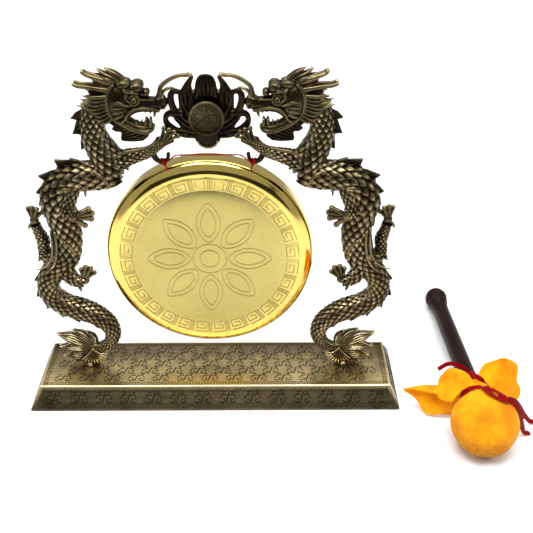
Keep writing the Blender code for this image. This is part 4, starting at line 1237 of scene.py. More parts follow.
@dataclass
class Base:
    """The stamped cover of the base, rubbed bright along its edges, with a painted highlight there too."""

    bench: Bench

    def build(self) -> None:
        """Make the cover and its stamping."""
        self.build_cover()
        self.build_motifs()
        self.build_borders()

    @staticmethod
    def size_at(z: float) -> tuple[float, float]:
        """The width and depth at a height."""
        share = z / BASE_TOP
        return tuple(low + (high - low) * share for low, high in zip(BASE_LOW, BASE_HIGH))

    def build_cover(self) -> None:
        """A slant-sided shell, rubbed bright along its edges with a painted highlight there, lighter in the middle of
        its front from a painted reflection, and darker on its sloping sides from painted shade.
        """
        bm = bmesh.new()
        bmesh.ops.create_cube(bm, size=1)
        for vert in bm.verts:
            z = BASE_FOOT if vert.co.z < 0 else BASE_TOP
            width, depth = self.size_at(z)
            vert.co = mm(math.copysign(width / 2, vert.co.x), math.copysign(depth / 2, vert.co.y), z)
        bmesh.ops.recalc_face_normals(bm, faces=bm.faces)
        bottom = [face for face in bm.faces if face.normal.z < -0.9]
        bmesh.ops.delete(bm, geom=bottom, context="FACES")
        bmesh.ops.bevel(bm, geom=[edge for edge in bm.edges if not edge.is_boundary],
                        offset=0.45 * MM, segments=3, profile=0.5, affect="EDGES", material=-1)
        large = [face for face in bm.faces if face.calc_area() > 5e-4]
        bmesh.ops.inset_individual(bm, faces=large, thickness=0.9 * MM)
        bmesh.ops.inset_individual(bm, faces=large, thickness=3.0 * MM)
        for axis, places in (((1, 0, 0), range(-120, 121, 24)), ((0, 1, 0), (-16, -6, 4, 14))):
            for place in places:
                geom = [*bm.verts, *bm.edges, *bm.faces]
                bmesh.ops.bisect_plane(bm, geom=geom, plane_co=Vector(axis) * place * MM, plane_no=axis)
        values = []
        for vert in bm.verts:
            x, y, z = vert.co / MM
            width, depth = self.size_at(z)
            margin = min(width / 2 - abs(x), depth / 2 - abs(y))
            # Painted reflection: the top is lighter in the middle and towards the front.
            painted_light_level = 0.54 + 0.13 * math.cos(x * math.pi / 300) - 0.0070 * (y + 4)
            if z < BASE_TOP - 1.2:
                margin = BASE_TOP - z
                # Painted shade: the sloping sides are darker, a little lighter towards the middle.
                painted_light_level = 0.33 + 0.12 * math.cos(x * math.pi / 300)
            # The edges are rubbed bright, with a painted highlight along them.
            values.append(0.90 if margin < 0.6 else max(0.28, painted_light_level))
        mesh = bpy.data.meshes.new("base_shell")
        bm.to_mesh(mesh)
        bm.free()
        set_relief(mesh, values)
        shell = self.bench.lay("base_shell", mesh, "stamped_brass", Body.STAND, ["base_cover"], 50)
        wall = shell.modifiers.new("Wall", "SOLIDIFY")
        wall.thickness = 1.0 * MM
        wall.offset = -1.0

    def faces(self) -> list[tuple[Matrix, float, float]]:
        """Each decorated face: its frame with X along it and Y up it, its width and its height."""
        frames = []
        width, depth = BASE_HIGH
        frames.append((Matrix.Translation(mm(0, 0, BASE_TOP)), width, depth))
        low_w, low_d = self.size_at(BASE_FOOT)
        for turn, out_low, out_high, long in ((0, low_d / 2, depth / 2, width), (90, low_w / 2, width / 2, depth),
                                              (180, low_d / 2, depth / 2, width), (270, low_w / 2, width / 2, depth)):
            rise = BASE_TOP - BASE_FOOT
            lean = math.atan2(rise, out_low - out_high)
            middle = mm(0, -(out_low + out_high) / 2, (BASE_FOOT + BASE_TOP) / 2)
            frame_of = (Matrix.Rotation(math.radians(turn), 4, "Z") @ Matrix.Translation(middle)
                        @ Matrix.Rotation(lean, 4, "X"))
            frames.append((frame_of, long, math.hypot(rise, out_low - out_high)))
        return frames

    def motif(self) -> bpy.types.Mesh:
        """A spray of curls and leaves, flat on Z."""
        strokes = (((-4.4, -1.6), (-3.0, -2.6), (-1.4, -1.8), (-1.8, -0.6), (-2.8, -0.9)),
                   ((4.4, -1.6), (3.0, -2.6), (1.4, -1.8), (1.8, -0.6), (2.8, -0.9)),
                   ((-0.9, -3.0), (0.0, 0.2), (0.9, 3.0)), ((-3.9, 0.4), (-2.4, 1.7), (-0.7, 1.5)),
                   ((3.9, 0.7), (2.6, 2.0), (1.1, 1.0)), ((-2.9, 2.8), (-1.0, 3.1)), ((1.9, 3.2), (3.4, 2.6)),
                   ((-4.6, -0.2), (-3.4, 0.1)), ((3.2, -0.2), (4.6, -0.1)))
        made = tubes([(smooth([(x, y, 0, 0.26 + 0.08 * (i % 2)) for i, (x, y) in enumerate(stroke)], 1.0), False)
                      for stroke in strokes], 0)
        made.transform(Matrix.Diagonal((1.45, 1.45, 0.5, 1)))
        return made

    def build_motifs(self) -> None:
        """Staggered rows of the motif on the top and one row on each side."""
        motif = self.motif()
        places = []
        for number, (at, width, height) in enumerate(self.faces()):
            rows = 1 if number else 5
            columns = round((width - 22) / 19.4)
            for row in range(rows):
                for column in range(columns + 1):
                    stagger = 0.0 if number else 0.25 - 0.5 * (row % 2)
                    x = (column - columns / 2 + stagger) * (width - 22) / columns
                    if abs(x) < width / 2 - 10:
                        y = (row - (rows - 1) / 2) * 8.7 - 0.2
                        places.append(at @ Matrix.Translation(mm(x, y, 0.02)))
        mesh = repeated(motif, places, [0.10] * len(motif.vertices))
        self.bench.lay("base_motifs", mesh, "stamped_brass", Body.STAND)

    def build_borders(self) -> None:
        """A band of small curls between two fine lines, inside the edge of each face."""
        curl = tubes([(smooth([(-0.9, -0.7, 0, 0.2), (0.1, -0.8, 0, 0.26), (0.7, 0.0, 0, 0.26), (0.0, 0.7, 0, 0.24),
                               (-0.6, 0.2, 0, 0.2)], 0.9), False)], 0)
        curl.transform(Matrix.Diagonal((1, 1, 0.7, 1)))
        line = tubes([([(-0.5, 0, 0, 0.18), (0.5, 0, 0, 0.18)], False)], 0)
        curls, lines = [], []
        for number, (at, width, height) in enumerate(self.faces()):
            edges = [(width, -height / 2 + 3.0, 0), (width, height / 2 - 3.0, 0)]
            if number == 0:
                edges += [(height, -width / 2 + 3.6, 90), (height, width / 2 - 3.6, 90)]
            for length, offset, turn in edges:
                along = at @ Matrix.Rotation(math.radians(turn), 4, "Z")
                for shift in (-1.35, 1.35):
                    lines.append(along @ Matrix.Translation(mm(0, offset + shift, 0)) @ Matrix.Diagonal((length - 4, 1, 1, 1)))
                count = round((length - 6) / 2.3)
                for k in range(count + 1):
                    place = mm((k - count / 2) * (length - 6) / count, offset, 0)
                    curls.append(along @ Matrix.Translation(place) @ Matrix.Rotation(math.pi * (k % 2), 4, "Z"))
        bm = bmesh.new()
        for tile, places in ((curl, curls), (line, lines)):
            bm.from_mesh(repeated(tile, places, [0.12] * len(tile.vertices)))
        self.bench.lay_bmesh("base_borders", bm, "stamped_brass", Body.STAND)


@dataclass
class Flame:
    """The flame between the dragons, with the pearl disc in front of it."""

    bench: Bench
    half: Outline = ((0, 249.2), (3.8, 248.2), (6.0, 244.3), (6.8, 239.8), (8.4, 238.2), (10.0, 239.2),
                     (10.4, 243.5), (8.7, 248.6), (12.8, 244.3), (16.6, 238.6), (18.2, 236.4), (18.1, 229),
                     (18.6, 224), (22.6, 220.4), (18.8, 214.6), (17.4, 209.8), (18.4, 206.8), (14, 205.6),
                     (8.4, 205.2), (7.8, 203.4), (6.0, 200.6), (3, 198.8), (0, 198.4))
    arms: Sequence[Sequence[Station]] = (
        ((16.6, -0.4, 236.8, 1.8), (20.4, -0.4, 238.0, 2.0), (22.8, -0.4, 235.8, 2.3), (23.1, -0.4, 231.4, 2.4),
         (22.0, -0.4, 226.8, 2.5), (19.4, -0.4, 222.8, 2.4)),
        ((16, -0.4, 222.8, 2.6), (21.4, -0.4, 223.2, 2.6), (25.8, -0.4, 222.2, 2.2), (27.4, -0.4, 218.8, 1.9),
         (26.4, -0.4, 215.4, 2.4), (23.4, -0.4, 212.0, 2.9), (19.8, -0.4, 209.8, 3.1), (14.4, -0.4, 209.0, 3.0)))
    flutes: Sequence[Sequence[Station]] = (
        ((1.2, -1.5, 235, 0.6), (1.5, -1.8, 241, 0.6), (0.9, -1.4, 246.6, 0.45)),
        ((3.4, -1.5, 235, 0.6), (3.6, -1.7, 241, 0.6), (2.4, -1.3, 246.2, 0.45)),
        ((5.6, -1.5, 234, 0.6), (5.3, -1.5, 240, 0.6), (4.4, -1.1, 244.2, 0.45)),
        ((8.7, -1.4, 231.3, 0.7), (9.9, -1.5, 235.2, 0.7), (11.6, -1.4, 239.6, 0.6)),
        ((13.2, -1.4, 229.0, 0.8), (13.4, -1.6, 235.6, 0.8), (11.8, -1.4, 241.4, 0.7), (9.7, -1.0, 247.0, 0.5)),
        ((15.6, -1.4, 229.0, 0.8), (15.8, -1.6, 235.0, 0.8), (13.4, -1.3, 240.6, 0.7), (10.6, -1.0, 245.4, 0.5)),
        ((10.8, -1.4, 221.2, 0.9), (14.0, -1.7, 226.3, 0.9), (16.0, -1.6, 231.6, 0.8), (16.8, -1.2, 236.8, 0.6)),
        ((10.6, -1.4, 216.1, 0.9), (16.2, -1.8, 220.4, 0.9), (19.6, -1.6, 226.0, 0.8), (21.6, -1.4, 232.6, 0.7),
         (21.6, -1.2, 236.6, 0.5)),
        ((11.6, -1.4, 213.0, 0.8), (17.6, -1.7, 217.4, 0.9), (22.4, -1.7, 221.4, 0.8), (26.6, -1.4, 221.0, 0.6)),
        ((8.8, -1.5, 209.6, 0.8), (14.0, -1.9, 210.4, 0.9), (20.0, -1.9, 210.8, 0.9), (25.4, -1.6, 214.8, 0.7)),
        ((8.8, -1.4, 206.6, 0.8), (14.0, -1.5, 206.8, 0.9), (19.6, -1.4, 207.6, 0.7)))

    def build(self) -> None:
        """Make the casting and the disc."""
        clay = Clay()
        outline = [*self.half, *((-x, z) for x, z in self.half[-2:0:-1])]
        clay.slab([(x * 0.95, 222 + (z - 222) * 0.97) for x, z in outline], 2.6)
        for side in (-1, 1):
            for route in (*self.arms, *self.flutes, [(x * 0.955, -0.4, 222 + (z - 222) * 0.975, 0.95) for x, z in self.half]):
                clay.rope([(side * x, y, z, radius) for x, y, z, radius in route])
            clay.ball((side * 8.3, -1.2, 237.6), (1.3, 1.3, 1.3))
        clay.ball((0, -0.4, 206.8), (7.8, 2.2, 8.2))
        self.bench.lay("flame", clay.cast(0.42, depth=0.7, dim=0.1), "antique_bronze", Body.STAND, ["flame_plaque"], 60)
        lip = swept([(7.7 * math.cos(a), -1.6, 206.2 + 7.4 * math.sin(a), 1.2)
                     for a in (math.radians(200 + 14 * k) for k in range(11))], step=0.8)
        # The lip is painted bright all along: a painted highlight on the lower crescent of the seat.
        set_relief(lip, [0.92] * len(lip.vertices))
        self.bench.lay("seat_lip", lip, "antique_bronze", Body.STAND)
        self.build_pearl()

    def build_pearl(self) -> None:
        """A dished disc with a raised rim and a plain six-petal rosette."""
        section = [(0, -0.7), (4.0, -0.6), (8.6, -0.4), (10.0, -0.3), (10.7, 0.15), (11.2, 0.3), (11.7, -0.1),
                   (11.8, -1.2), (11.6, -3.4), (0, -3.4)]
        bm = spun(section, 72)
        place = Matrix.Translation(mm(0, PEARL_FRONT, PEARL_Z)) @ Matrix.Rotation(math.pi / 2, 4, "X")
        bmesh.ops.transform(bm, matrix=place, verts=bm.verts)
        mesh = bpy.data.meshes.new("disc")
        bm.to_mesh(mesh)
        bm.free()
        rings = [math.hypot(vert.co.x, vert.co.z - PEARL_Z * MM) / MM for vert in mesh.vertices]
        set_relief(mesh, [0.60 if 10.4 < ring < 11.75 else 0.50 for ring in rings])
        self.bench.lay("pearl", mesh, "antique_bronze", Body.STAND, ["pearl_disc"])
        clay = Clay()
        for k in range(6):
            angle = math.tau * k / 6 + math.pi / 6
            clay.rope([(r * math.cos(angle + turn), PEARL_FRONT + 0.9, PEARL_Z + r * math.sin(angle + turn), 0.5)
                       for r, turn in ((1.8, 0), (4.2, 0.36), (6.6, 0.22), (7.6, 0), (6.6, -0.22), (4.2, -0.36))],
                      step=0.8, closed=True)
        clay.ball((0, PEARL_FRONT + 0.9, PEARL_Z), (1.5, 0.9, 1.5))
        self.bench.lay("pearl_rosette", clay.cast(0.3, dim=0.05), "antique_bronze", Body.STAND)


def spun(section: Outline, steps: int) -> bmesh.types.BMesh:
    """Turn a section of radius and height about Z into a closed surface."""
    bm = bmesh.new()
    verts = [bm.verts.new(mm(radius, 0, height)) for radius, height in section]
    edges = [bm.edges.new(pair) for pair in zip(verts, verts[1:])]
    bmesh.ops.spin(bm, geom=verts + edges, cent=(0, 0, 0), axis=(0, 0, 1), angle=math.tau, steps=steps,
                   use_merge=True)
    bmesh.ops.remove_doubles(bm, verts=bm.verts, dist=1e-6)
    bmesh.ops.recalc_face_normals(bm, faces=bm.faces)
    return bm


# --- The gong -----------------------------------------------------------------

GONG_AT = (-1.8, 114.0)  # its middle: across and up
HOOK_LINE = (-1.0, 188.7)  # depth and height of the line that it swings about
CORD_HALF = [(29, -1, 180.5), (29, -1.1, 184.2), (29.3, -2.9, 186.6), (28.6, -3.9, 188.9),
             (26.4, -3.5, 190.6), (23.4, -2.1, 192.5), (19, -1.1, 193.3), (0, -1, 193.3)]


@dataclass
class Gong:
    """The brass disc and the red cord that it hangs by."""

    bench: Bench
    band: tuple[float, float] = (54.6, 64.8)
    face: float = -5.0
    units: int = 28

    def build(self) -> None:
        """Make the disc and its ornament."""
        self.build_disc()
        self.build_key_band()
        self.build_flower()

    def on_face(self, radius: float, angle: float) -> Vector:
        """A point on the front face in millimetres: across, depth, up."""
        return Vector((GONG_AT[0] + radius * math.cos(angle), self.face, GONG_AT[1] + radius * math.sin(angle)))

    def build_disc(self) -> None:
        """The turned disc: flat face, cove, bevelled shoulder and deep rim."""
        section = [(0, 5.0), (20, 5.0), (40, 5.0), (54.2, 5.0), (54.8, 4.75), (55.4, 5.0), (60, 5.0), (64.4, 5.0),
                   (65.0, 4.75), (65.6, 5.0), (66.6, 4.92), (67.8, 4.68), (69.0, 4.22), (70.2, 3.6), (71.2, 2.95),
                   (72.0, 2.5), (72.7, 2.1), (73.4, 1.5), (74.0, 0.7), (74.45, -0.3), (74.7, -1.5), (74.7, -6),
                   (74.7, -13.0), (74.1, -13.3), (73.5, -13.0), (73.5, -1.2), (72.8, 0.2), (71.2, 1.1), (68, 3.2),
                   (65.5, 3.8), (40, 3.8), (0, 3.8)]
        bm = spun(section, 192)
        place = Matrix.Translation(mm(GONG_AT[0], 0, GONG_AT[1])) @ Matrix.Rotation(math.pi / 2, 4, "X")
        bmesh.ops.transform(bm, matrix=place, verts=bm.verts)
        mesh = bpy.data.meshes.new("gong")
        bm.to_mesh(mesh)
        bm.free()
        # Relief rises from the satin centre to the polished rim, whose brighter, more golden colour is partly a painted
        # reflection.
        values = []
        for vert in mesh.vertices:
            radius = math.hypot(vert.co.x - GONG_AT[0] * MM, vert.co.z - GONG_AT[1] * MM) / MM
            values.append(min(1.0, max(0.2, (radius - 50.0) / 15.0)))
        set_relief(mesh, values)
        self.bench.lay("gong", mesh, "polished_brass", Body.GONG, ["gong_disc"], 50)

    def build_key_band(self) -> None:
        """A squared-spiral key between pairs of bars, all round the face."""
        bm = bmesh.new()
        low, high = self.band
        pitch = math.tau / self.units
        middle = (low + high) / 2
        wide = pitch * middle  # one unit's length in millimetres
        bars = [(0.45, 0.6, 0.7, 9.6), (1.75, 0.6, 0.7, 9.6),
                (3.1, 9.5, wide - 4.4, 0.7), (3.1, 0.9, 0.7, 8.6), (3.1, 0.9, wide - 4.4, 0.7),
                (wide - 2.0, 0.9, 0.7, 6.4), (5.1, 6.6, wide - 7.1, 0.7), (5.1, 3.3, 0.7, 3.6),
                (5.1, 3.3, wide - 9.4, 0.7)]
        for unit in range(self.units):
            for left, bottom, width, height in bars:
                made = bmesh.ops.create_cube(bm, size=1)["verts"]
                for vert in made:
                    along = left + (vert.co.x + 0.5) * width
                    radius = low + bottom + (vert.co.y + 0.5) * height
                    at = self.on_face(radius, unit * pitch - along / middle + math.pi / 2)
                    vert.co = Vector((at.x, at.y - 0.38 * (vert.co.z + 0.5) + 0.05, at.z)) * MM
        bmesh.ops.recalc_face_normals(bm, faces=bm.faces)
        bmesh.ops.bevel(bm, geom=bm.edges, offset=0.12 * MM, segments=1, profile=0.5, affect="EDGES", material=-1)
        mesh = bpy.data.meshes.new("key_band")
        bm.to_mesh(mesh)
        bm.free()
        set_relief(mesh, [0.12] * len(mesh.vertices))
        self.bench.lay("gong_key_band", mesh, "polished_brass", Body.GONG, (), 30)

    def bead(self, bm: bmesh.types.BMesh, route: Sequence[tuple[float, float]], closed: bool = True) -> None:
        """Raise a fine bead through points of radius and angle."""
        points = [self.on_face(radius, angle) for radius, angle in route]
        piece = swept([(*point, 0.42) for point in points], step=1.2, closed=closed, sides=1)
        bm.from_mesh(piece)
        bpy.data.meshes.remove(piece)

    def build_flower(self) -> None:
        """A large flower in double outline, eight petals round a ringed centre."""
        bm = bmesh.new()
        for radius in (7.0, 12.0):
            self.bead(bm, [(radius, math.tau * k / 16) for k in range(16)])
        petal = ((14.6, 0.0), (19.0, 0.27), (28.0, 0.31), (37.0, 0.20), (45.5, 0.0), (37.0, -0.20), (28.0, -0.31),
                 (19.0, -0.27))
        for k in range(8):
            angle = math.tau * k / 8
            for size, wide in ((1.0, 1.0), (0.72, 0.62)):
                self.bead(bm, [(29 + (radius - 30) * size, angle + turn * wide) for radius, turn in petal])
        for vert in bm.verts:  # low beads, let into the face
            depth = vert.co.y / MM - self.face
            vert.co.y = (self.face - 0.02 + 0.6 * depth) * MM
        mesh = bpy.data.meshes.new("flower")
        bm.to_mesh(mesh)
        bm.free()
        set_relief(mesh, [0.10] * len(mesh.vertices))
        self.bench.lay("gong_flower", mesh, "polished_brass", Body.GONG)

    def build_cord(self) -> None:
        """The two-ply cord from one rim hole over the hooks to the other, with its lashings."""
        route = smooth([*CORD_HALF[:-1], *((-x, y, z) for x, y, z in CORD_HALF[::-1])], 0.8)
        mesh = twisted(route, 0.6, 4.2)
        nodes = ["gong_cord"]
        cord = self.bench.lay("hanging_cord", mesh, "red_cord", Body.GONG, nodes, 60)
        lashings = []
        for side in Side:
            bm = bmesh.new()
            for offset, lean in ((29.6, 8), (30.7, -6), (31.6, 10)):
                loop = [(side.value * (offset + 0.5 * math.sin(a)), HOOK_LINE[0] + 2.1 * math.cos(a),
                         HOOK_LINE[1] - 0.1 + 2.1 * math.sin(a) + 0.02 * lean, 0.45)
                        for a in (math.tau * k / 10 for k in range(10))]
                piece = swept(loop, step=0.9, closed=True)
                bm.from_mesh(piece)
                bpy.data.meshes.remove(piece)
            for x, y, z, radius in ((30.2, -3.1, 187.4, 0.85), (29.5, -2.9, 186.4, 0.65)):
                bmesh.ops.create_uvsphere(bm, u_segments=12, v_segments=8, radius=radius * MM,
                                          matrix=Matrix.Translation(mm(side.value * x, y, z)))
            lashings.append(self.bench.lay_bmesh(f"{side.prefix}_cord_lashing", bm, "red_cord", Body.GONG))
        length = sum(math.dist(a, b) for a, b in zip(route, route[1:])) * MM
        log.info("hanging_cord: %.4f m", length)
        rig.cord(cord, exit=mm(*route[0]), length=length, diameter=0.0012, far_end="object", stiffness="limp",
                lay="taut", path=[mm(*at) for at in route], with_pieces=lashings)


def twisted(route: Sequence[Point], radius: float, turn_length: float) -> bpy.types.Mesh:
    """Two strands twisted round a route.

    Args:
        route: close points in millimetres.
        radius: the cord's outer radius.
        turn_length: how far one full twist takes.

    Returns:
        The cord's mesh.
    """
    bm = bmesh.new()
    points = [Vector(at) for at in route]
    normal = Vector((0, 1, 0))
    frames, travelled = [], 0.0
    for i, here in enumerate(points):
        run = (points[min(i + 1, len(points) - 1)] - points[max(i - 1, 0)]).normalized()
        normal = (normal - run * normal.dot(run)).normalized()
        travelled += (here - points[i - 1]).length if i else 0.0
        frames.append((here, normal.copy(), run.cross(normal), math.tau * travelled / turn_length))
    for phase in (0.0, math.pi):
        strand = [(*(here + (first * math.cos(angle + phase) + second * math.sin(angle + phase)) * radius * 0.46),
                   radius * 0.56) for here, first, second, angle in frames]
        piece = swept(strand, step=5.0)
        bm.from_mesh(piece)
        bpy.data.meshes.remove(piece)
    made = bpy.data.meshes.new("cord")
    bm.to_mesh(made)
    bm.free()
    return made


# --- The mallet ---------------------------------------------------------------

MALLET_PLACE = (Matrix.Translation(mm(191.9, -79.5, 23.7))
                @ Euler((math.radians(-94.33), 0, math.radians(0.56))).to_matrix().to_4x4())
BALL_R, NECK_AT = 23.6, 27.5
TAIL_LONG = [(12, -22.6, -3, 70), (19, -17, 2, 90), (25.5, -7, 9, 90), (31, 3, 16, 90), (36.5, 12, 22, 85),
             (41.5, 18.6, 26, 45), (47, 20.8, 28, 5)]
TAIL_SHORT = [(11.6, -23.6, -5.4, 70), (18.2, -17.5, -4, 90), (23.6, -7.5, 0, 90), (27, 2.5, 5, 90), (30.4, 12, 10, 90),
              (34, 19.4, 14, 45), (39, 21.6, 16, 5)]


@dataclass
class Mallet:
    """The loose mallet: a velvet ball tied with red ribbon on a dark handle."""

    bench: Bench
    ribbon_width: float = 3.6

    def lay(self, name: str, mesh: bpy.types.Mesh, slot: str, *nodes: str, sharp: float = 60.0) -> bpy.types.Object:
        """Finish a piece that was made along the mallet's own axis."""
        mesh.transform(MALLET_PLACE)
        return self.bench.lay(name, mesh, slot, Body.MALLET, nodes, sharp)

    def build(self) -> None:
        """Make everything but the ribbon's tails."""
        self.build_handle()
        self.build_ball()
        self.build_ruffle()
        self.build_tie()

    def ribbon(self, stations: Sequence[tuple[float, float, float, float]], width: float) -> bpy.types.Mesh:
        """A flat ribbon through places, its width along the handle turned by the fourth value in degrees."""
        curve = bpy.data.curves.new("ribbon", "CURVE")
        curve.dimensions = "3D"
        curve.twist_mode = "Z_UP"
        curve.extrude = (width / 2 - 0.12) * MM
        curve.bevel_depth = 0.12 * MM
        curve.bevel_resolution = 1
        route = smooth(stations, 1.2)
        spline = curve.splines.new("POLY")
        spline.points.add(len(route) - 1)
        for point, (x, y, z, tilt) in zip(spline.points, route):
            point.co = (*mm(x, y, z), 1)
            point.tilt = math.radians(tilt)
        holder = bpy.data.objects.new("ribbon", curve)
        bpy.context.scene.collection.objects.link(holder)
        mesh = evaluated_mesh(holder)
        bpy.data.curves.remove(curve)
        bm = bmesh.new()
        bm.from_mesh(mesh)
        bmesh.ops.remove_doubles(bm, verts=bm.verts, dist=1e-7)
        bmesh.ops.recalc_face_normals(bm, faces=bm.faces)
        bm.to_mesh(mesh)
        bm.free()
        return mesh

    def build_tails(self) -> None:
        """The ribbon's two loose tails, which are free cords of its width."""
        for name, route in (
                ("ribbon_tail_long", TAIL_LONG), ("ribbon_tail_short", TAIL_SHORT)):
            path = [MALLET_PLACE @ mm(*at[:3]) for at in smooth(route, 1.5)]
            piece = self.lay(f"{name}_strip", self.ribbon(route, self.ribbon_width), "red_ribbon", name)
            length = sum((b - a).length for a, b in zip(path, path[1:]))
            log.info("%s: %.4f m", name, length)
            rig.cord(piece, exit=path[0], length=length, diameter=self.ribbon_width * MM, far_end="bare",
                    stiffness="limp", lay="hanging", path=path)

    def build_handle(self) -> None:
        """The turned and lacquered handle with its grooved knob."""
        section = [(0, 189.6), (3.6, 189.0), (6.4, 187.2), (8.4, 184.4), (9.4, 181.2), (9.5, 178.6), (8.9, 175.6),
                   (7.9, 173.6), (7.3, 172.8), (7.3, 171.8), (7.9, 171.0), (8.0, 169.4), (7.3, 168.4), (6.8, 167.6),
                   (6.75, 150), (6.9, 100), (7.1, 50), (7.2, 26), (7.2, 15), (4.5, 14.5), (4.5, -6), (0, -6)]
        bm = spun(section, 48)
        mesh = bpy.data.meshes.new("handle")
        bm.to_mesh(mesh)
        bm.free()
        self.lay("turned_handle", mesh, "dark_wood", "handle", sharp=35.0)

    def build_ball(self) -> None:
        """The padded velvet ball, gathered into pleats at its neck."""
        section = [(0, -BALL_R)]
        section += [(BALL_R * math.sin(a), -BALL_R * math.cos(a))
                    for a in (math.radians(step) for step in range(4, 149, 4))]
        section += [(11.8, 21.2), (11.0, 23.2), (10.2, 25.2), (9.3, 27.2), (8.9, 29.0), (9.3, 31.2), (8.4, 32.6),
                    (7.5, 32.4)]
        bm = spun(section, 120)
        for vert in bm.verts:
            angle = math.atan2(vert.co.y, vert.co.x)
            gather = min(1.0, max(0.0, (vert.co.z / MM - 9.0) / 15.0)) ** 2
            pleat = math.cos(15 * angle + 1.6 * math.sin(3 * angle)) + 0.5 * math.cos(23 * angle + 2.0)
            soft = 0.35 * math.sin(2 * angle + vert.co.z / MM * 0.12) + 0.25 * math.sin(5 * angle - vert.co.z / MM * 0.2)
            spare = 1.0 if vert.co.xy.length > 3 * MM else 0.0
            push = (0.75 * pleat * gather + soft * (1 - gather) * spare) * MM
            vert.co += Vector((math.cos(angle), math.sin(angle), 0)) * push
        mesh = bpy.data.meshes.new("ball")
        bm.to_mesh(mesh)
        bm.free()
        # Relief on the ball is painted shade: it grows towards the bottom and darkens the velvet there.
        heights = [(MALLET_PLACE @ vert.co).z / MM for vert in mesh.vertices]
        set_relief(mesh, [min(1.0, max(0.14, (37.0 - height) / 26.0)) for height in heights])
        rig.padded(self.lay("padded_ball", mesh, "yellow_velvet", "velvet_ball", "mallet_core"), fill=0.85)

    def build_ruffle(self) -> None:
        """The free edge of the velvet square, flaring and folding over from the tie."""
        ribs = [  # angle at the neck in degrees, then places out to the free edge
            (-170, (-17, -4, 38), (-25, -5, 37), (-29, -3, 31)),
            (-150, (-17, -13, 41), (-26, -12, 38), (-26.5, 0, 28)),
            (-130, (-12, -16, 42), (-20, -17, 38), (-17.5, 1, 26)),
            (-112, (-6, -14.5, 38), (-9, -17.5, 36.5), (-11, -8, 28)),
            (-92, (-1, -11, 34.5), (0.5, -11.6, 36.5), (3, -11.4, 37.5)),
            (-74, (4, -14, 37), (5, -19, 39), (6, -22, 40)),
            (-60, (9, -15, 37), (12, -21, 40), (13.5, -25, 41)),
            (-48, (13, -15, 36), (18, -23, 38), (20.5, -29, 38)),
            (-34, (17, -11, 34), (25, -18, 37), (30, -24, 38)),
            (-20, (18, -6, 33), (26, -9, 35), (30.5, -12, 37)),
            (0, (18, -1, 32), (27, -2, 35), (35, -3, 38)),
            (15, (16, 3, 31), (25, 4, 34), (33.5, 6, 37)),
            (35, (12, 7, 31), (19, 9, 33), (24.5, 12, 35)),
            (70, (5, 12, 32), (7, 16, 35), (8, 18.5, 38)),
            (100, (-4, 12, 32), (-8, 16, 34), (-12, 18.5, 35)),
            (125, (-10, 11, 32), (-18, 14.5, 33), (-24, 16, 33)),
            (142, (-14, 8, 33), (-26, 14, 36), (-34, 19.6, 37)),
            (158, (-17, 5, 36), (-29, 8, 41), (-41, 9.5, 43)),
            (174, (-18, 0, 39), (-34, -1, 44), (-50.5, 3, 46)),
        ]
        count = len(ribs)
        segments, rings = 190, 20
        bm = bmesh.new()
        rows = []
        fans = []
        for angle, *places in ribs:
            turn = math.radians(angle)
            start = (9.6 * math.cos(turn), 9.6 * math.sin(turn), NECK_AT + 3.4)
            even = smooth([start, *places], 0.5)
            fans.append([even[round(ring * (len(even) - 1) / (rings - 1))] for ring in range(rings)])
        for ring in range(rings):
            share = ring / (rings - 1)
            row = []
            for i in range(segments):
                place = i / segments * count
                index, t = int(place), place - int(place)
                a, b, c, d = (Vector(fans[(index + k) % count][ring]) for k in (-1, 0, 1, 2))
                at = b + 0.5 * t * (c - a + t * (2 * a - 5 * b + 4 * c - d + t * (3 * (b - c) + d - a)))
                wave = 0.5 * math.sin(math.tau * 13 * i / segments) * (1 - share)
                wave += 0.45 * share * math.sin(math.tau * 9 * i / segments + 1.0)
                outward = Vector((at.x, at.y, 0)).normalized()
                row.append(bm.verts.new((at + outward * wave) * MM))
            rows.append(row)
        for row, after in zip(rows, rows[1:]):
            for i in range(segments):
                j = (i + 1) % segments
                bm.faces.new((row[i], row[j], after[j], after[i]))
        for _ in range(2):
            loose = [vert for row in rows[2:] for vert in row]
            bmesh.ops.smooth_vert(bm, verts=loose, factor=0.5, use_axis_x=True, use_axis_y=True, use_axis_z=True)
        bmesh.ops.recalc_face_normals(bm, faces=bm.faces)
        area = sum(face.calc_area() for face in bm.faces)
        log.info("ruffle: %.5f square metres", area)
        thin = bpy.data.meshes.new("ruffle")
        bm.to_mesh(thin)
        bm.free()
        holder = bpy.data.objects.new("ruffle", thin)
        bpy.context.scene.collection.objects.link(holder)
        wall = holder.modifiers.new("Wall", "SOLIDIFY")
        wall.thickness = 1.3 * MM
        wall.offset = 0.0
        mesh = evaluated_mesh(holder)
        bpy.data.meshes.remove(thin)
        set_relief(mesh, [0.0] * len(mesh.vertices))
        ruffle = self.lay("flared_velvet", mesh, "yellow_velvet", "velvet_ruffle")
        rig.sheet(ruffle, flat=(0.085, 0.085), held="gathered", rests_on=["padded_ball"], area=area)

    def band(self, centre: Point, toward: Point, size: tuple[float, float], width: float = 1.7) -> bpy.types.Mesh:
        """A flat loop of ribbon that lies on the ball.

        Args:
            centre: the loop's middle.
            toward: where its long axis points.
            size: its half length and half width.
            width: half of the ribbon's width.

        Returns:
            The loop's mesh.
        """
        loop = [(size[0] * math.cos(a) * (1 + 0.12 * math.cos(a)), size[1] * math.sin(a), 0, width)
                for a in (math.tau * k / 12 for k in range(12))]
        mesh = tubes([(smooth(loop, 0.9, True), True)], 3)
        outward = Vector(centre).normalized()
        along = (Vector(toward) - Vector(centre)).normalized()
        across = outward.cross(along).normalized()
        turn = Matrix((across.cross(outward), across, outward)).transposed().to_4x4()
        mesh.transform(Matrix.Translation(mm(*centre)) @ turn @ Matrix.Diagonal((1, 1, 0.32, 1)))
        return mesh

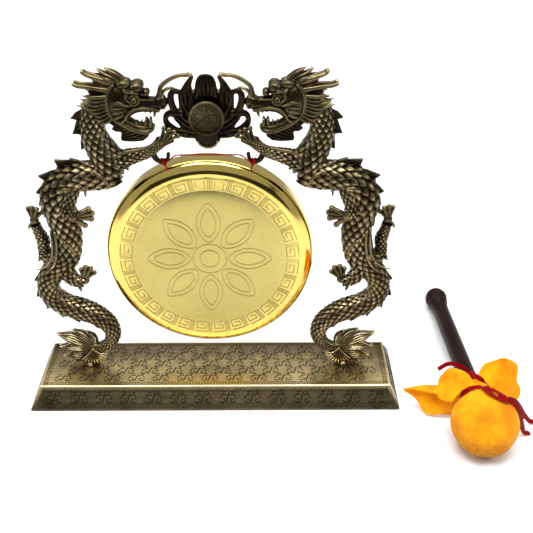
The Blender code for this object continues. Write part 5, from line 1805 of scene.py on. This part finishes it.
    def build_tie(self) -> None:
        """The ribbon wound round the neck, its bow and its loose end."""
        bm = bmesh.new()
        for offset, lean, shift, radius in ((-0.6, 0.8, 0.0, 11.7), (1.7, -0.7, 1.3, 11.2)):
            loop = [(radius * math.cos(a), radius * math.sin(a),
                     NECK_AT + offset + lean * math.cos(a + shift), 0)
                    for a in (math.tau * k / 24 for k in range(25))]
            bm.from_mesh(self.ribbon(loop, 2.6))
        mesh = bpy.data.meshes.new("tie")
        bm.to_mesh(mesh)
        bm.free()
        self.lay("ribbon_winding", mesh, "red_ribbon", "ribbon_tie")
        bm = bmesh.new()
        for piece in (self.band((4.4, -24.4, 0.2), (11, -22, -6), (8.2, 3.4)),
                      self.band((1.0, -24.2, 6.4), (-4, -22.4, 10.3), (4.6, 2.2), 1.4),
                      self.ribbon([(-4.3, -17.1, 38, 50), (1.0, -16.6, 31, 50), (3.4, -18.4, 24, 40),
                                   (3.0, -21.6, 15, 30), (2.0, -24.2, 8, 20)], self.ribbon_width),
                      self.ribbon([(6, -24.6, -1, 60), (9.5, -24, -3, 40), (12, -22.6, -3, 0)], self.ribbon_width)):
            bm.from_mesh(piece)
        bmesh.ops.create_uvsphere(bm, u_segments=16, v_segments=10, radius=1,
                                  matrix=Matrix.Translation(mm(-0.5, -24.6, 6.4)) @ Matrix.Diagonal((*mm(2.4, 1.6, 2.6), 1)))
        mesh = bpy.data.meshes.new("bow")
        bm.to_mesh(mesh)
        bm.free()
        self.lay("bow", mesh, "red_ribbon", "ribbon_bow")
        self.lay("ribbon_end", self.ribbon([(-4.3, -17.1, 38, 50), (-9.8, -19.2, 42.5, 90), (-18.5, -20.6, 44, 110),
                                            (-25.5, -14.4, 46, 120)], 3.0), "red_ribbon")


# --- The studio ---------------------------------------------------------------


class Studio:
    """Camera, floor and soft light."""

    def set_camera(self) -> None:
        """Look down at the set from the front."""
        data = bpy.data.cameras.new("camera")
        data.lens = 57.143
        data.sensor_width = 36.0
        camera = bpy.data.objects.new("camera", data)
        turn = Euler((math.radians(90 - 31.124), 0, math.radians(-0.164))).to_matrix().to_4x4()
        camera.matrix_world = (Matrix.Translation((0.03757, -0.52964, 0.42417)) @ turn
                               @ Matrix.Rotation(math.radians(-0.133), 4, "Z"))
        bpy.context.scene.collection.objects.link(camera)
        bpy.context.scene.camera = camera

    def plain(self, name: str, colour: Point, roughness: float = 0.8) -> bpy.types.Material:
        """A plain matt material for the set."""
        made = bpy.data.materials.new(name)
        made.use_nodes = True
        shader = made.node_tree.nodes["Principled BSDF"]
        shader.inputs["Base Color"].default_value = (*colour, 1)
        shader.inputs["Roughness"].default_value = roughness
        return made

    def card(self, name: str, size: tuple[float, float], place: Matrix, colour: Point) -> None:
        """Stand a flat card in the set."""
        bm = bmesh.new()
        bmesh.ops.create_grid(bm, x_segments=1, y_segments=1, size=0.5, matrix=Matrix.Diagonal((*size, 1, 1)))
        mesh = bpy.data.meshes.new(name)
        bm.to_mesh(mesh)
        bm.free()
        mesh.materials.append(self.plain(name, colour))
        card = bpy.data.objects.new(name, mesh)
        card.matrix_world = place
        bpy.context.scene.collection.objects.link(card)
        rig.stage(card)

    def light(self, name: str, at: Point, target: Point, size: tuple[float, float], power: float,
              colour: Point = (1, 1, 1)) -> None:
        """Hang a rectangular soft light that faces a target."""
        data = bpy.data.lights.new(name, "AREA")
        data.shape = "RECTANGLE"
        data.size, data.size_y = size
        data.energy = power
        data.color = colour
        lamp = bpy.data.objects.new(name, data)
        lamp.location = at
        lamp.rotation_euler = (Vector(target) - Vector(at)).to_track_quat("-Z", "Y").to_euler()
        bpy.context.scene.collection.objects.link(lamp)

    def build(self) -> None:
        """Lay the floor, hang the lights and set the world."""
        self.card("floor", (6, 6), Matrix.Translation((0, 0, -0.0002)), (0.93, 0.93, 0.93))
        self.card("dark_front", (3.0, 0.9), Matrix.Translation((0, -1.6, 0.45)) @ Matrix.Rotation(math.pi / 2, 4, "X"),
                  (0.01, 0.01, 0.01))
        self.light("overhead", (0.0, -0.45, 1.5), (0, 0, 0.1), (1.2, 0.7), 26.0)
        self.light("far_floor", (0.0, 1.1, 2.0), (0, 1.1, 0), (2.4, 0.8), 22.0)
        self.light("left_window", (-1.3, -0.3, 1.1), (0, 0, 0.1), (0.5, 0.6), 6.0)
        self.light("right_window", (1.4, -0.3, 1.1), (0.05, 0, 0.1), (0.5, 0.6), 6.0)
        world = bpy.data.worlds.new("world")
        world.use_nodes = True
        background = world.node_tree.nodes["Background"]
        background.inputs["Color"].default_value = (1, 1, 1, 1)
        background.inputs["Strength"].default_value = 0.45
        bpy.context.scene.world = world
        bpy.context.scene.view_settings.view_transform = "Standard"


def main() -> None:
    """Build the set: camera and cords first, then the stand, the gong and the mallet."""
    logging.basicConfig(level=logging.INFO, format="%(name)s %(message)s")
    studio = Studio()
    studio.set_camera()
    bench = Bench()
    gong = Gong(bench)
    mallet = Mallet(bench)
    gong.build_cord()
    mallet.build_tails()
    Base(bench).build()
    for side in Side:
        Dragon(side, bench).build()
    Flame(bench).build()
    gong.build()
    mallet.build()
    bench.dress_kept_nodes()
    studio.build()
    made_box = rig.bounds()
    with open("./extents.json", "w") as out:
        json.dump({"cad": [list(map(float, corner)) for corner in cad_box],
                   "visual": [list(map(float, corner)) for corner in made_box]}, out)


if __name__ == "__main__":
    main()
